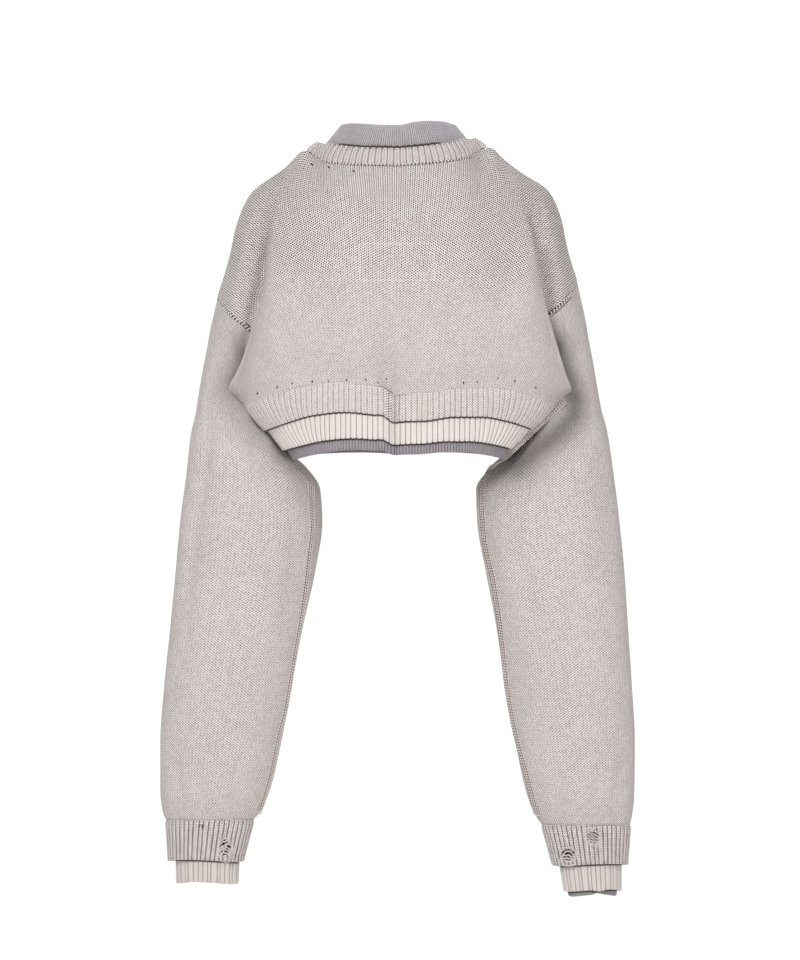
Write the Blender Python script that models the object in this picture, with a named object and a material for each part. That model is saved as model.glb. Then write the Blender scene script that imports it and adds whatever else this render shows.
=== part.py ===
"""Cropped, layered knit sweater, held in its worn, hollow shape.

Metres, +Z up. The wearer's front faces -Y and the wearer's left arm is at +X. The origin is the centre of
the neck at shoulder height, where the wearer carries the garment. Each sewn piece is one closed wall.
Tables are in millimetres: x is the distance from the centre line, y the depth, z the height.
"""
import math
from collections import namedtuple

import bmesh
import bpy
import numpy as np

MM = 0.001
WALL = 2.5          # thickness of the plain knit
RIB_WALL = 2.2      # thickness of a rib between its raised wales
SEAM_GAP = 0.35     # each piece ends this far short of its seam, but for these bands:
NECK_SEAM_GAP = 0.6
HEM_SEAM_GAP = 0.5
HALF_BAND_GAP = 0.2     # half bands at their side seams, before the ring's curve widens it
LEFT, RIGHT = 1, -1

# Half of a body panel, a row for each wale from the centre (share 0) to the armhole (share 1).
# A wale runs down from its top over the shoulder cap into the drape fold, round the fold's edge and on
# to the hem.
Wale = namedtuple("Wale", "share top cap valley edge")
BACK_WALES = (
    Wale(0.000, (0, 60, -21.5), (0, 72, -40), (0, 82, -60), (0, 90, -82)),
    Wale(0.150, (50, 52, -19), (49, 67, -39), (48, 79, -60), (47, 88, -83)),
    Wale(0.240, (85, 31, -14), (83, 55, -35), (80, 74, -60), (75, 85, -85)),
    Wale(0.320, (108, -6, -6), (106, 34, -30), (101, 65, -61), (97, 80, -88)),
    Wale(0.460, (149, -9, -29), (147, 22, -43), (140, 53, -68), (136, 69, -94)),
    Wale(0.585, (180, -12, -53), (171, 21, -63), (156, 46, -88), (155, 65, -116)),
    Wale(0.720, (197, -15, -91), (184, 25, -104), (158, 42, -134), (163, 62, -162)),
    Wale(0.830, (205, -18, -127), (191, 27, -143), (163, 38, -178), (176, 58, -212)),
    Wale(0.930, (214, -20, -158), (198, 25, -177), (169, 35, -211), (191, 46, -260)),
    Wale(0.970, (218, -21, -170), (200, 23, -189), (172, 33, -220), (202, 20, -282)),
    Wale(1.000, (220, -22, -179), (201, 21, -200), (175, 31, -229), (205, -22, -294)),
)
NECK_SHARE = 0.32   # where the neckline ends and the shoulder seam starts
FRONT_NECK_WALES = (
    Wale(0.000, (0, -84, -80), (0, -91, -98), (0, -97, -116), (0, -101, -136)),
    Wale(0.150, (50, -77, -67), (49, -86, -86), (48, -94, -104), (47, -99, -124)),
    Wale(0.240, (85, -54, -42), (83, -72, -66), (79, -85, -88), (74, -93, -110)),
)
# The shoulder seam lies further forward towards the armhole, and the front mirrors the back about it.
SHOULDER_AT_NECK, SHOULDER_AT_ARM = -6, -22
FRONT_FLATTER = (0, 0.5, 0.6, 0.22)   # for the top, cap, valley and edge of a wale

# What differs from one side of the garment to the other: the neck corner's place and the armhole's lift.
SideFit = namedtuple("SideFit", "neck_out neck_up armhole_up armhole_in fold_out")
SIDE_FIT = {LEFT: SideFit(2, -2, 0, 0, 0), RIGHT: SideFit(-8, 5, 17, 6, 4)}

# Hem: a row for each level of the body's taper, and the wave of its edge along the back.
HEM_ROUND = 2.3
HEM_MID = -6        # depth of the hem ring's middle
Level = namedtuple("Level", "half_width half_depth z")
HEM_TOP = Level(188, 97, -292)
HEM_CENTRE_SHARE = 0.8      # how much of the panel's width the hem's back takes up, before the side
HEM_WAVE = ((-1.0, -16), (-0.8, -3), (-0.6, 4), (-0.4, 4), (-0.17, -2), (-0.03, -2.5), (0.07, 0), (0.2, 7),
            (0.4, 11), (0.64, 6), (0.8, -3), (1.0, -17))
FRONT_WAVE = ((-1.0, -16), (-0.75, 0), (-0.4, 6), (0.0, 1), (0.35, 5), (0.75, 1), (1.0, -17))
HEM_FOLD = (14, 13, 6.5)    # x, width and depth of the upright fold that dents the hem and the back

# A ribbed band, with its levels from top to bottom, and how many ribs one plain panel inside spans.
Band = namedtuple("Band", "levels wave_share ribs rise ribs_inside")
HEMS = {
    "hem_outer": Band((Level(188, 97, -292), Level(163.5, 94, -324)), (1.0, 0.8), 63, 1.7, 1),
    "hem_middle": Band((Level(173.5, 91.3, -303), Level(139.5, 86, -352)), (0.85, 0.5), 57, 1.5, 1),
    "hem_inner": Band((Level(158.5, 86.7, -308), Level(127.5, 80, -365)), (0.75, 0.4), 104, 0.9, 2),
}

# Sleeve: a row for each ring. The outer and inner points have their own heights, so a ring can tilt.
Ring = namedtuple("Ring", "z_out z_in x_out x_in y_mid half_depth y_in round_in")
SLEEVE_RINGS = {
    LEFT: (
        Ring(-236, -324, 233, 181, -19, 52, -8, 2.0),
        Ring(-290, -352, 243.5, 158, -21, 57, -18, 1.8),
        Ring(-340, -380, 251.5, 113, -23, 60, -58, 1.45),
        Ring(-388, -408, 257, 96, -25, 60, -52, 1.75),
        Ring(-440, -447, 264, 93.5, -26, 59, -42, 2.1),
        Ring(-504, -506, 270, 102, -28, 58, -34, 2.2),
        Ring(-576, -576, 277, 117.6, -30, 57, -30, 2.2),
        Ring(-648, -648, 284.4, 130.8, -32, 56, -32, 2.2),
        Ring(-712, -712, 288.8, 143, -34, 54, -34, 2.2),
        Ring(-755, -755, 289.2, 153, -36, 51, -36, 2.2),
        Ring(-783, -783, 288, 161, -37, 46, -37, 2.2),
        Ring(-799, -799, 285, 170.5, -38, 39, -38, 2.2),
        Ring(-805, -805, 281.5, 176.5, -38, 34.5, -38, 2.2),
    ),
    RIGHT: (
        Ring(-226, -324, 228, 180, -19, 52, -8, 2.0),
        Ring(-284, -352, 239, 157, -21, 57, -18, 1.8),
        Ring(-336, -380, 249, 110, -23, 60, -58, 1.45),
        Ring(-388, -408, 257, 91.5, -25, 60, -52, 1.75),
        Ring(-440, -447, 263.5, 93, -26, 59, -42, 2.1),
        Ring(-504, -506, 270, 103.2, -28, 58, -34, 2.2),
        Ring(-576, -576, 274.8, 116.4, -30, 57, -30, 2.2),
        Ring(-648, -648, 279.6, 127.2, -32, 56, -32, 2.2),
        Ring(-712, -712, 283, 139, -34, 54, -34, 2.2),
        Ring(-760, -760, 283, 149, -36, 51, -36, 2.2),
        Ring(-788, -788, 281, 157, -37, 46, -37, 2.2),
        Ring(-804, -804, 279, 165.5, -38, 39, -38, 2.2),
        Ring(-811, -811, 277, 171, -38, 34.5, -38, 2.2),
    ),
}
# Down to this place along the armhole both pieces end on one face; below it they meet back to back.
ARMHOLE_FLUSH = 2.1
ARMHOLE_APART = 0.45
# The body's outside under the arm at some heights, which the sleeve keeps clear of.
Flank = namedtuple("Flank", "z half_width mid half_depth roundness")
FLANK = (Flank(-395, 0, -6, 88, 2.3), Flank(-378, 112, -6, 88, 2.3), Flank(-373, 134, -6, 88, 2.3),
         Flank(-361, 146, -6, 92, 2.3), Flank(-338, 168.5, -6, 97, 2.3), Flank(-318, 183, -8, 97, 2.3),
         Flank(-309, 195, -12, 90, 3), Flank(-294, 211, -14, 84, 5), Flank(-283, 211, -14, 80, 8),
         Flank(-266, 206, -14, 78, 8), Flank(-250, 198, -14, 74, 8), Flank(-215, 172, -14, 64, 8))
PUSH_SPREAD = 3         # how many points further the sleeve's clearance fades out
CORNER_ROWS = slice(4, 8)       # rows of the sleeve whose corner beside the body is rounded off
CORNER_PASSES = 2
ARM_RING_NEAR = 0.34    # how far the first ring lies from the armhole towards the next one
ARM_RING_PUSH = 9       # how far that ring stands out beside the drape fold

# Cuffs: levels have a centre, because each cuff hangs from a slanting sleeve.
CuffLevel = namedtuple("CuffLevel", "x_mid half_width y_mid half_depth z")
Cuff = namedtuple("Cuff", "levels ribs rise ribs_inside")
CUFFS = {
    LEFT: {
        "cuff_outer": Cuff((CuffLevel(229, 52.5, -38, 34.5, -805), CuffLevel(234, 44.4, -38, 32, -854)),
                           40, 1.5, 1),
        "cuff_middle": Cuff((CuffLevel(231.5, 38.5, -38, 29.9, -816), CuffLevel(232.2, 36.4, -38, 26, -881)),
                            34, 1.3, 1),
        "cuff_inner": Cuff((CuffLevel(231.8, 33, -38, 25.7, -826), CuffLevel(232.2, 31.2, -38, 21.3, -876)),
                           52, 0.8, 2),
    },
    RIGHT: {
        "cuff_outer": Cuff((CuffLevel(224, 53, -38, 34.5, -811), CuffLevel(229, 44.4, -38, 32, -859)),
                           40, 1.5, 1),
        "cuff_middle": Cuff((CuffLevel(227, 39.5, -38, 29.9, -822), CuffLevel(232, 33.8, -38, 26, -890)),
                            34, 1.3, 1),
        "cuff_inner": Cuff((CuffLevel(227.8, 33.5, -38, 25.7, -832), CuffLevel(232, 28.4, -38, 21.3, -896)),
                           52, 0.8, 2),
    },
}
CUFF_WAVE = (1.6, 0.7)      # height and phase of the wave in a cuff's free edge
# Worn-through places in the outer cuffs: height and distance from the centre, with their half sizes.
Tear = namedtuple("Tear", "x z half_width half_height")
TEARS = {LEFT: (Tear(210, -834, 6.5, 9),), RIGHT: (Tear(232.5, -825, 5.5, 8), Tear(201, -847, 7.5, 8.5))}

# Neck: how the top edge of each band stands over its lower edge at the back, side and front.
NeckRise = namedtuple("NeckRise", "inward up")
NECKBAND_RIBS = 78
NECKBAND_RISE = 1.7
NECKBAND_BACK, NECKBAND_SIDE, NECKBAND_FRONT = NeckRise(6, 24.5), NeckRise(12, 17), NeckRise(8, 22)
COLLAR_RIBS = 128
COLLAR_RISE = 0.8
COLLAR_MID = (2.0, -10.0)
COLLAR_ROUND = 1.9
CollarLevel = namedtuple("CollarLevel", "half_width half_depth z_back z_side z_front")
COLLAR_LEVELS = (CollarLevel(85, 55, -8, -3, -64), CollarLevel(76, 53.5, 28, 27, -26))

GREIGE = ("knit_greige", (0.60, 0.54, 0.52, 1.0), 0.9)
CREAM = ("knit_cream", (0.78, 0.71, 0.67, 1.0), 0.9)
GREY = ("knit_grey", (0.29, 0.29, 0.31, 1.0), 0.88)


# ---------------------------------------------------------------- curves and walls

def through(keys, values, at):
    """Smooth curve through values at keys that never swings past them, read at the places in at."""
    keys = np.asarray(keys, dtype=float)
    values = np.asarray(values, dtype=float)
    at = np.clip(np.asarray(at, dtype=float), keys[0], keys[-1])
    step = np.diff(keys)[:, None]
    flat = values.reshape(len(keys), -1)
    slope = np.diff(flat, axis=0) / step
    tangent = np.zeros_like(flat)
    tangent[0], tangent[-1] = slope[0], slope[-1]
    before, after = slope[:-1], slope[1:]
    same = before * after > 0
    weight_a = 2 * step[1:] + step[:-1]
    weight_b = step[1:] + 2 * step[:-1]
    safe_before = np.where(same, before, 1.0)
    safe_after = np.where(same, after, 1.0)
    mean = (weight_a + weight_b) / (weight_a / safe_before + weight_b / safe_after)
    tangent[1:-1] = np.where(same, mean, 0.0)
    index = np.clip(np.searchsorted(keys, at, side="right") - 1, 0, len(keys) - 2)
    span = step[index]
    t = ((at - keys[index])[:, None]) / span
    low, high = flat[index], flat[index + 1]
    result = ((1 + 2 * t) * (1 - t) ** 2 * low + t * (1 - t) ** 2 * span * tangent[index]
              + t * t * (3 - 2 * t) * high + t * t * (t - 1) * span * tangent[index + 1])
    return result.reshape((len(at),) + values.shape[1:])


def grid_normals(grid, around=False):
    """Unit normals of a grid of points, the mean of the quads that meet at each; around closes its rows."""
    ring = np.concatenate([grid, grid[:, :1]], axis=1) if around else grid
    quads = np.cross(ring[1:, 1:] - ring[:-1, :-1], ring[1:, :-1] - ring[:-1, 1:])
    quads /= np.maximum(np.linalg.norm(quads, axis=2, keepdims=True), 1e-9)
    if around:
        quads = np.concatenate([quads[:, -1:], quads], axis=1)
    else:
        quads = np.concatenate([quads[:, :1], quads, quads[:, -1:]], axis=1)
    quads = np.concatenate([quads[:1], quads, quads[-1:]])
    normal = quads[1:, 1:] + quads[1:, :-1] + quads[:-1, 1:] + quads[:-1, :-1]
    if around:
        normal = normal[:, :grid.shape[1]]
    return normal / np.maximum(np.linalg.norm(normal, axis=2, keepdims=True), 1e-9)


def wall_inside(outer, normals, passes=2):
    """The wall's plain inner points; round a sharp fold they keep away from the fold's edge."""
    inner = outer - normals * WALL
    body = (slice(1, -1), slice(1, -1))
    for _ in range(passes):
        mean = (inner[:-2, 1:-1] + inner[2:, 1:-1] + inner[1:-1, :-2] + inner[1:-1, 2:]) / 4
        step = 0.5 * (mean - inner[body])
        away = np.sum(step * normals[body], axis=2, keepdims=True) < 0
        inner[body] += np.where(away, step, 0)
    return inner


def facing_out(normals, grid, middle):
    """The normals turned so that most of them point away from a middle line or point."""
    away = np.sum(normals * (grid - middle), axis=2)
    return normals if np.sum(away) > 0 else -normals


def link(faces, first, first_at, second, second_at):
    """Triangles between two rows of vertices whose places along the row are given."""
    i = j = 0
    while i < len(first) - 1 or j < len(second) - 1:
        step_first = j == len(second) - 1 or (i < len(first) - 1 and first_at[i + 1] <= second_at[j + 1])
        if step_first:
            faces.append((first[i], first[i + 1], second[j]))
            i += 1
        else:
            faces.append((first[i], second[j + 1], second[j]))
            j += 1


def sheet_faces(faces, start, guide, around):
    """Triangles of a grid whose vertices begin at start; each quad is cut where the guide is shorter."""
    rows, columns = guide.shape[:2]
    for row in range(rows - 1):
        for column in range(columns if around else columns - 1):
            after = (column + 1) % columns
            near, near_after = start + row * columns + column, start + row * columns + after
            far, far_after = near + columns, near_after + columns
            falling = np.linalg.norm(guide[row, column] - guide[row + 1, after])
            rising = np.linalg.norm(guide[row, after] - guide[row + 1, column])
            if falling <= rising:
                faces += [(near, near_after, far_after), (near, far_after, far)]
            else:
                faces += [(near, near_after, far), (near_after, far_after, far)]


def wall_mesh(outer, inner, around):
    """Vertices and faces of a closed wall between an outer and an inner grid of points."""
    rows, columns = outer.shape[:2]
    inner_rows, inner_columns = inner.shape[:2]
    points = np.concatenate([outer.reshape(-1, 3), inner.reshape(-1, 3)])
    offset = rows * columns
    faces = []
    sheet_faces(faces, 0, outer, around)
    sheet_faces(faces, offset, outer if inner.shape == outer.shape else inner, around)
    out_at = list(np.linspace(0, 1, columns + 1 if around else columns))
    in_at = list(np.linspace(0, 1, inner_columns + 1 if around else inner_columns))
    for row, inner_row in ((0, 0), (rows - 1, inner_rows - 1)):
        out_line = [row * columns + k for k in range(columns)]
        in_line = [offset + inner_row * inner_columns + k for k in range(inner_columns)]
        if around:
            out_line.append(out_line[0])
            in_line.append(in_line[0])
        link(faces, out_line, out_at, in_line, in_at)
    if not around:
        out_rows, in_rows = list(np.linspace(0, 1, rows)), list(np.linspace(0, 1, inner_rows))
        for column, inner_column in ((0, 0), (columns - 1, inner_columns - 1)):
            link(faces, [k * columns + column for k in range(rows)], out_rows,
                 [offset + k * inner_columns + inner_column for k in range(inner_rows)], in_rows)
    return points, faces


def make_wall(name, outer, inner, finish, around=False):
    """A named object from the outer and inner grids, in millimetres."""
    points, faces = wall_mesh(outer, inner, around)
    mesh = bpy.data.meshes.new(name)
    mesh.from_pydata([tuple(point * MM) for point in points], [], faces)
    solid = bmesh.new()
    solid.from_mesh(mesh)
    bmesh.ops.recalc_face_normals(solid, faces=solid.faces)
    solid.to_mesh(mesh)
    solid.free()
    mesh.materials.append(finish)
    thing = bpy.data.objects.new(name, mesh)
    bpy.context.collection.objects.link(thing)
    return thing


def knit_material(kind):
    """Principled material for one yarn."""
    name, colour, roughness = kind
    material = bpy.data.materials.new(name)
    material.use_nodes = True
    shader = material.node_tree.nodes["Principled BSDF"]
    shader.inputs["Base Color"].default_value = colour
    shader.inputs["Roughness"].default_value = roughness
    shader.inputs["Metallic"].default_value = 0.0
    return material


# ---------------------------------------------------------------- body panels

def front_wales():
    """The front's wales: its own neckline, and past it the back's wales mirrored about the shoulder seam."""
    wales = list(FRONT_NECK_WALES)
    for wale in BACK_WALES:
        if wale.share < NECK_SHARE:
            continue
        along = (wale.share - NECK_SHARE) / (1 - NECK_SHARE)
        forward = SHOULDER_AT_NECK + (SHOULDER_AT_ARM - SHOULDER_AT_NECK) * along
        outward = min(1.0, max(0.0, (wale.share - 0.4) / 0.4))
        mirrored = [(x, forward - (y - forward) * (1 - flatter * outward), z)
                    for (x, y, z), flatter in zip(wale[1:], FRONT_FLATTER)]
        mirrored[0] = wale.top
        wales.append(Wale(wale.share, *mirrored))
    return wales


def superellipse(half_width, half_depth, angle, roundness=HEM_ROUND):
    """Point on a rounded ring: angle 0 is the back's centre and a quarter turn the side."""
    power = 2 / roundness
    x = half_width * np.sign(np.sin(angle)) * np.abs(np.sin(angle)) ** power
    y = half_depth * np.sign(np.cos(angle)) * np.abs(np.cos(angle)) ** power
    return x, y


def hem_point(level, angle, wave_share):
    """Points of the hem ring at one level, waved along its edge and dented by the upright fold."""
    angle = np.asarray(angle, dtype=float)
    x, y = superellipse(level.half_width, level.half_depth, angle)
    share = x / level.half_width
    back = through(*zip(*HEM_WAVE), share)
    front = through(*zip(*FRONT_WAVE), share)
    blend = np.clip(0.5 + y / 40, 0, 1)
    z = level.z + wave_share * (blend * back + (1 - blend) * front)
    fold_x, fold_width, fold_depth = HEM_FOLD
    y = y - fold_depth * wave_share * np.exp(-((x - fold_x) / fold_width) ** 2) * (y > 0)
    return np.stack([x, y + HEM_MID, z], axis=-1)


def side_fitted(share, grid, side):
    """The half panel's control points with this side's own neck corner, armhole and fold."""
    fit = SIDE_FIT[side]
    grid = grid.copy()
    near_neck = np.where(share < NECK_SHARE, share / NECK_SHARE, np.clip((0.46 - share) / 0.14, 0, 1))
    grid[:, 0, 0] += fit.neck_out * near_neck
    grid[:, 0, 2] += fit.neck_up * near_neck
    grid[:, 1, 0] += 0.5 * fit.neck_out * near_neck
    grid[:, 1, 2] += 0.5 * fit.neck_up * near_neck
    outward = np.clip((share - 0.46) / 0.54, 0, 1)
    for line, lift in ((0, 1.0), (1, 1.0), (2, 0.8)):
        grid[:, line, 2] += fit.armhole_up * lift * outward
        grid[:, line, 0] -= fit.armhole_in * lift * outward
    grid[:, 3, 0] += fit.fold_out * np.clip((share - 0.4) / 0.2, 0, 1) * (share < 0.95)
    return grid


def half_panel(wales, side, face, shares, places):
    """Points of half a panel: a row for each place down the wales and a column for each share."""
    keys = np.array([wale.share for wale in wales])
    grid = side_fitted(keys, np.array([wale[1:] for wale in wales], dtype=float), side)
    across = through(keys, grid, shares)
    quarter = (HEM_CENTRE_SHARE * shares + (1 - HEM_CENTRE_SHARE) * shares ** 6) * math.pi / 2
    angle = quarter if face > 0 else math.pi - quarter
    hem = hem_point(HEM_TOP, angle * side, 1.0)
    hem[:, 0] *= side
    edge = across[:, 3]
    swell = 7.5 * np.sin(np.pi * np.clip(shares, 0, 1)) * (1 - shares ** 6)
    lift = face * (9 - 2 * shares) * (1 - shares ** 8)
    rows = [across[:, k] for k in range(4)]
    for part, amount in ((0.36, 0.9), (0.72, 1.0)):
        point = edge * (1 - part) + hem * part
        point[:, 0] += swell * amount
        point[:, 1] += lift * amount
        rows.append(point)
    rows.append(hem)
    lines = through(range(len(rows)), np.stack(rows), places)
    lines[..., 0] *= side
    return lines


PANEL_SHARES = np.array([0, 0.08, 0.16, 0.24, 0.32, 0.4, 0.48, 0.56, 0.64, 0.72, 0.8, 0.87, 0.92, 0.96, 1.0])
ARMHOLE_PLACES = np.linspace(0, 3, 13)
PANEL_PLACES = np.concatenate([ARMHOLE_PLACES, (3.3, 3.8, 4.5, 5.2, 6.0)])


def panel_grid(wales, face):
    """Points of a whole panel, from the wearer's right side to the left."""
    right = half_panel(wales, RIGHT, face, PANEL_SHARES, PANEL_PLACES)
    left = half_panel(wales, LEFT, face, PANEL_SHARES, PANEL_PLACES)
    return np.concatenate([right[:, ::-1], left[:, 1:]], axis=1)


def trimmed(grid, rows=(True, True), columns=(False, False), gap=SEAM_GAP):
    """The grid with its chosen end rows and columns drawn back from the seam."""
    grid = grid.copy()
    for wanted, end, near in ((rows[0], 0, 1), (rows[1], -1, -2)):
        if wanted:
            step = grid[near] - grid[end]
            grid[end] += gap * step / np.maximum(np.linalg.norm(step, axis=1, keepdims=True), 1e-6)
    for wanted, end, near in ((columns[0], 0, 1), (columns[1], -1, -2)):
        if wanted:
            step = grid[:, near] - grid[:, end]
            grid[:, end] += gap * step / np.maximum(np.linalg.norm(step, axis=1, keepdims=True), 1e-6)
    return grid


def shared_edge(first, second):
    """Unit mean of two sets of edge normals, so both pieces end on the same face at their seam."""
    mean = first + second
    return mean / np.maximum(np.linalg.norm(mean, axis=-1, keepdims=True), 1e-9)


# ---------------------------------------------------------------- sleeves

def sleeve_ring(ring, count):
    """Points round one sleeve ring: outer side, back, inner side, front."""
    points = []
    reach = ring.x_out - ring.x_in
    for k in range(count):
        angle = 2 * math.pi * k / count
        out, back = math.cos(angle), math.sin(angle)
        mid_x = ring.x_out - 0.48 * reach
        y_turn = ring.y_mid if out >= 0 else ring.y_in
        roundness = 2.15 if out >= 0 else ring.round_in
        far_x = ring.x_out if out >= 0 else ring.x_in
        far_y = ring.y_mid + math.copysign(ring.half_depth, back)
        x = mid_x + (far_x - mid_x) * abs(out) ** (2 / roundness)
        y = y_turn + (far_y - y_turn) * abs(back) ** (2 / roundness)
        share = (ring.x_out - x) / reach
        points.append((x, y, ring.z_out + (ring.z_in - ring.z_out) * share))
    return np.array(points)


def armhole(back, front, side):
    """The armhole's closed line: down the back panel's seam from the shoulder, up the front's."""
    column = -1 if side == LEFT else 0
    last = len(ARMHOLE_PLACES)
    down = back[:last, column]
    up = front[1:last - 1, column][::-1]
    return np.concatenate([down, up])


def sleeve_grid(back, front, side):
    """Points of a sleeve, its rings from the armhole to the cuff seam."""
    loop = armhole(back, front, side).copy()
    loop[:, 0] *= side
    count = len(loop)
    rings = [sleeve_ring(ring, count) for ring in SLEEVE_RINGS[side]]
    near = loop * (1 - ARM_RING_NEAR) + rings[0] * ARM_RING_NEAR
    turn = 2 * np.pi * np.arange(count) / count
    push = np.clip(np.sin(turn) ** 2, 0, 1) * np.where(np.cos(turn) < 0.2, 1.0, 0.4)
    near[:, 0] += ARM_RING_PUSH * push
    grid = np.stack([loop, near] + rings)
    places = [0, 0.5, 1, 1.5, 2, 2.5, 3, 3.5, 4, 5, 6, 7, 8, 9, 10, 11.5, 13, 14]
    grid = clear_of_body(through(range(len(grid)), grid, places))
    grid[..., 0] *= side
    return grid


def clear_of_body(grid):
    """The sleeve's points, moved out softly to where the body's side would touch them."""
    z, half_width, mid, half_depth, roundness = np.array(FLANK, dtype=float).T
    widest, middle, depth, power = (np.interp(grid[..., 2], z, column, right=0)
                                    for column in (half_width, mid, half_depth, roundness))
    near = (widest > 0) & (depth > 0)
    depth, power = np.where(near, depth, 1), np.where(near, power, 2)
    deep = np.clip(np.abs(grid[..., 1] - middle) / depth, 0, 1)
    edge = widest * (1 - deep ** power) ** (1 / power)
    push = np.where(near, np.maximum(edge - grid[..., 0], 0), 0)
    push[0] = 0
    for _ in range(PUSH_SPREAD):
        spread = (np.roll(push, 1, axis=1) + np.roll(push, -1, axis=1)) / 2
        spread[1:-1] = (2 * spread[1:-1] + push[:-2] + push[2:]) / 4
        spread[0] = 0
        push = np.maximum(push, spread)
    grid = grid.copy()
    grid[..., 0] += push
    for _ in range(CORNER_PASSES):
        mean = (np.roll(grid, 1, axis=1) + np.roll(grid, -1, axis=1)) / 2
        grid[CORNER_ROWS] += 0.5 * (mean - grid)[CORNER_ROWS]
    return grid


# ---------------------------------------------------------------- ribbed bands

def even_angles(level, start, stop, count):
    """Angles that cut a ring's arc into equal lengths."""
    fine = np.linspace(start, stop, 2001)
    x, y = superellipse(level.half_width, level.half_depth, fine)
    length = np.concatenate([[0], np.cumsum(np.hypot(np.diff(x), np.diff(y)))])
    return np.interp(np.linspace(0, length[-1], count), length, fine)


def ribbed(lines, normals, rise):
    """Outer points: every second column stands out by rise."""
    outer = lines.copy()
    raised = np.arange(lines.shape[1]) % 2 == 1
    outer[:, raised] += normals[:, raised] * rise
    return outer


def past_the_ends(angles):
    """The angles with one more step before the first and after the last."""
    return np.concatenate([[2 * angles[0] - angles[1]], angles, [2 * angles[-1] - angles[-2]]])


def open_band(name, draw, out_angles, in_angles, centre, rise, finish, top_gap):
    """A ribbed wall between two side seams; draw gives the points of its levels at some angles."""
    lines, plain = draw(past_the_ends(out_angles)), draw(past_the_ends(in_angles))
    lines, plain = (trimmed(grid, rows=(True, False), gap=top_gap) for grid in (lines, plain))
    normals = facing_out(grid_normals(lines), lines, centre)[:, 1:-1]
    plain_normals = facing_out(grid_normals(plain), plain, centre)[:, 1:-1]
    outer = ribbed(lines[:, 1:-1], normals, rise)
    return make_wall(name, outer, plain[:, 1:-1] - plain_normals * RIB_WALL, finish)


def hem_band(name, band, face, finish):
    """Half of a hem, back or front, from side seam to side seam."""
    middle = 0.0 if face > 0 else math.pi
    side_gap = HALF_BAND_GAP / band.levels[0].half_depth
    start, stop = middle - math.pi / 2 + side_gap, middle + math.pi / 2 - side_gap

    def draw(angles):
        return np.stack([hem_point(level, angles, share)
                         for level, share in zip(band.levels, band.wave_share)])

    angles = [even_angles(band.levels[1], start, stop, columns)
              for columns in (2 * band.ribs + 1, band.ribs // band.ribs_inside + 1)]
    centre = np.array([0, HEM_MID, band.levels[1].z])
    top_gap = HEM_SEAM_GAP if name.startswith("hem_outer") else 0
    return open_band(name, draw, *angles, centre, band.rise, finish, top_gap)


def cuff_lines(cuff, side, angles):
    """Points of a cuff's rings at the given angles, its free edge waved."""
    rows = []
    height, phase = CUFF_WAVE
    for k, level in enumerate(cuff.levels):
        x, y = superellipse(level.half_width, level.half_depth, angles, 2.15)
        wave = height * np.sin(2 * angles + phase) * (k == len(cuff.levels) - 1)
        rows.append(np.stack([side * (level.x_mid + x), level.y_mid + y, level.z + wave], axis=-1))
    return np.stack(rows)


def whole_cuff(name, cuff, side, finish):
    """A ribbed cuff that runs all round the wrist."""
    grids = []
    for columns in (2 * cuff.ribs, cuff.ribs // cuff.ribs_inside):
        angles = even_angles(cuff.levels[1], 0, 2 * math.pi, columns + 1)[:-1]
        grids.append(cuff_lines(cuff, side, angles))
    lines, plain = grids
    centre = np.array([side * cuff.levels[1].x_mid, cuff.levels[1].y_mid, cuff.levels[1].z])
    normals = facing_out(grid_normals(lines, True), lines, centre)
    plain_normals = facing_out(grid_normals(plain, True), plain, centre)
    return make_wall(name, ribbed(lines, normals, cuff.rise), plain - plain_normals * RIB_WALL, finish, True)


def half_cuff(name, cuff, side, finish, middle):
    """Half of a ribbed cuff, about the angle in its middle."""
    gap = HALF_BAND_GAP / cuff.levels[0].half_depth
    start, stop = middle - math.pi / 2 + gap, middle + math.pi / 2 - gap
    angles = [even_angles(cuff.levels[1], start, stop, columns + 1)
              for columns in (cuff.ribs, cuff.ribs // 2)]
    centre = np.array([side * cuff.levels[1].x_mid, cuff.levels[1].y_mid, cuff.levels[1].z])
    return open_band(name, lambda at: cuff_lines(cuff, side, at), *angles, centre, cuff.rise, finish, SEAM_GAP)


def cut_tears(cuff, side):
    """Cut the worn-through places out of the back half of an outer cuff."""
    for tear in TEARS[side]:
        cutter_mesh = bpy.data.meshes.new("cutter")
        cutter = bpy.data.objects.new("cutter", cutter_mesh)
        bpy.context.collection.objects.link(cutter)
        shape = bmesh.new()
        corners = 10
        front, back = [], []
        for k in range(corners):
            angle = 2 * math.pi * (k + 0.5) / corners
            x = side * (tear.x + tear.half_width * math.cos(angle) * (1 + 0.12 * math.sin(3 * angle)))
            z = tear.z + tear.half_height * math.sin(angle)
            front.append(shape.verts.new((x * MM, -20 * MM, z * MM)))
            back.append(shape.verts.new((x * MM, 20 * MM, z * MM)))
        shape.faces.new(front)
        shape.faces.new(back)
        for k in range(corners):
            after = (k + 1) % corners
            shape.faces.new((front[k], front[after], back[after], back[k]))
        bmesh.ops.recalc_face_normals(shape, faces=shape.faces)
        shape.to_mesh(cutter_mesh)
        shape.free()
        cut = cuff.modifiers.new("tear", "BOOLEAN")
        cut.operation = "DIFFERENCE"
        cut.solver = "EXACT"
        cut.object = cutter
        bpy.context.view_layer.update()
        evaluated = cuff.evaluated_get(bpy.context.evaluated_depsgraph_get())
        result = bpy.data.meshes.new_from_object(evaluated)
        cuff.modifiers.clear()
        cuff.data = result
        bpy.data.objects.remove(cutter, do_unlink=True)


# ---------------------------------------------------------------- neck

def neckline(back, front):
    """The neck opening's closed line: round the back from right to left, then round the front."""
    corner = int(np.where(np.isclose(PANEL_SHARES, NECK_SHARE))[0][0])
    middle = len(PANEL_SHARES) - 1
    across = slice(middle - corner, middle + corner + 1)
    return np.concatenate([back[0, across], front[0, across][::-1][1:-1]])


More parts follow.
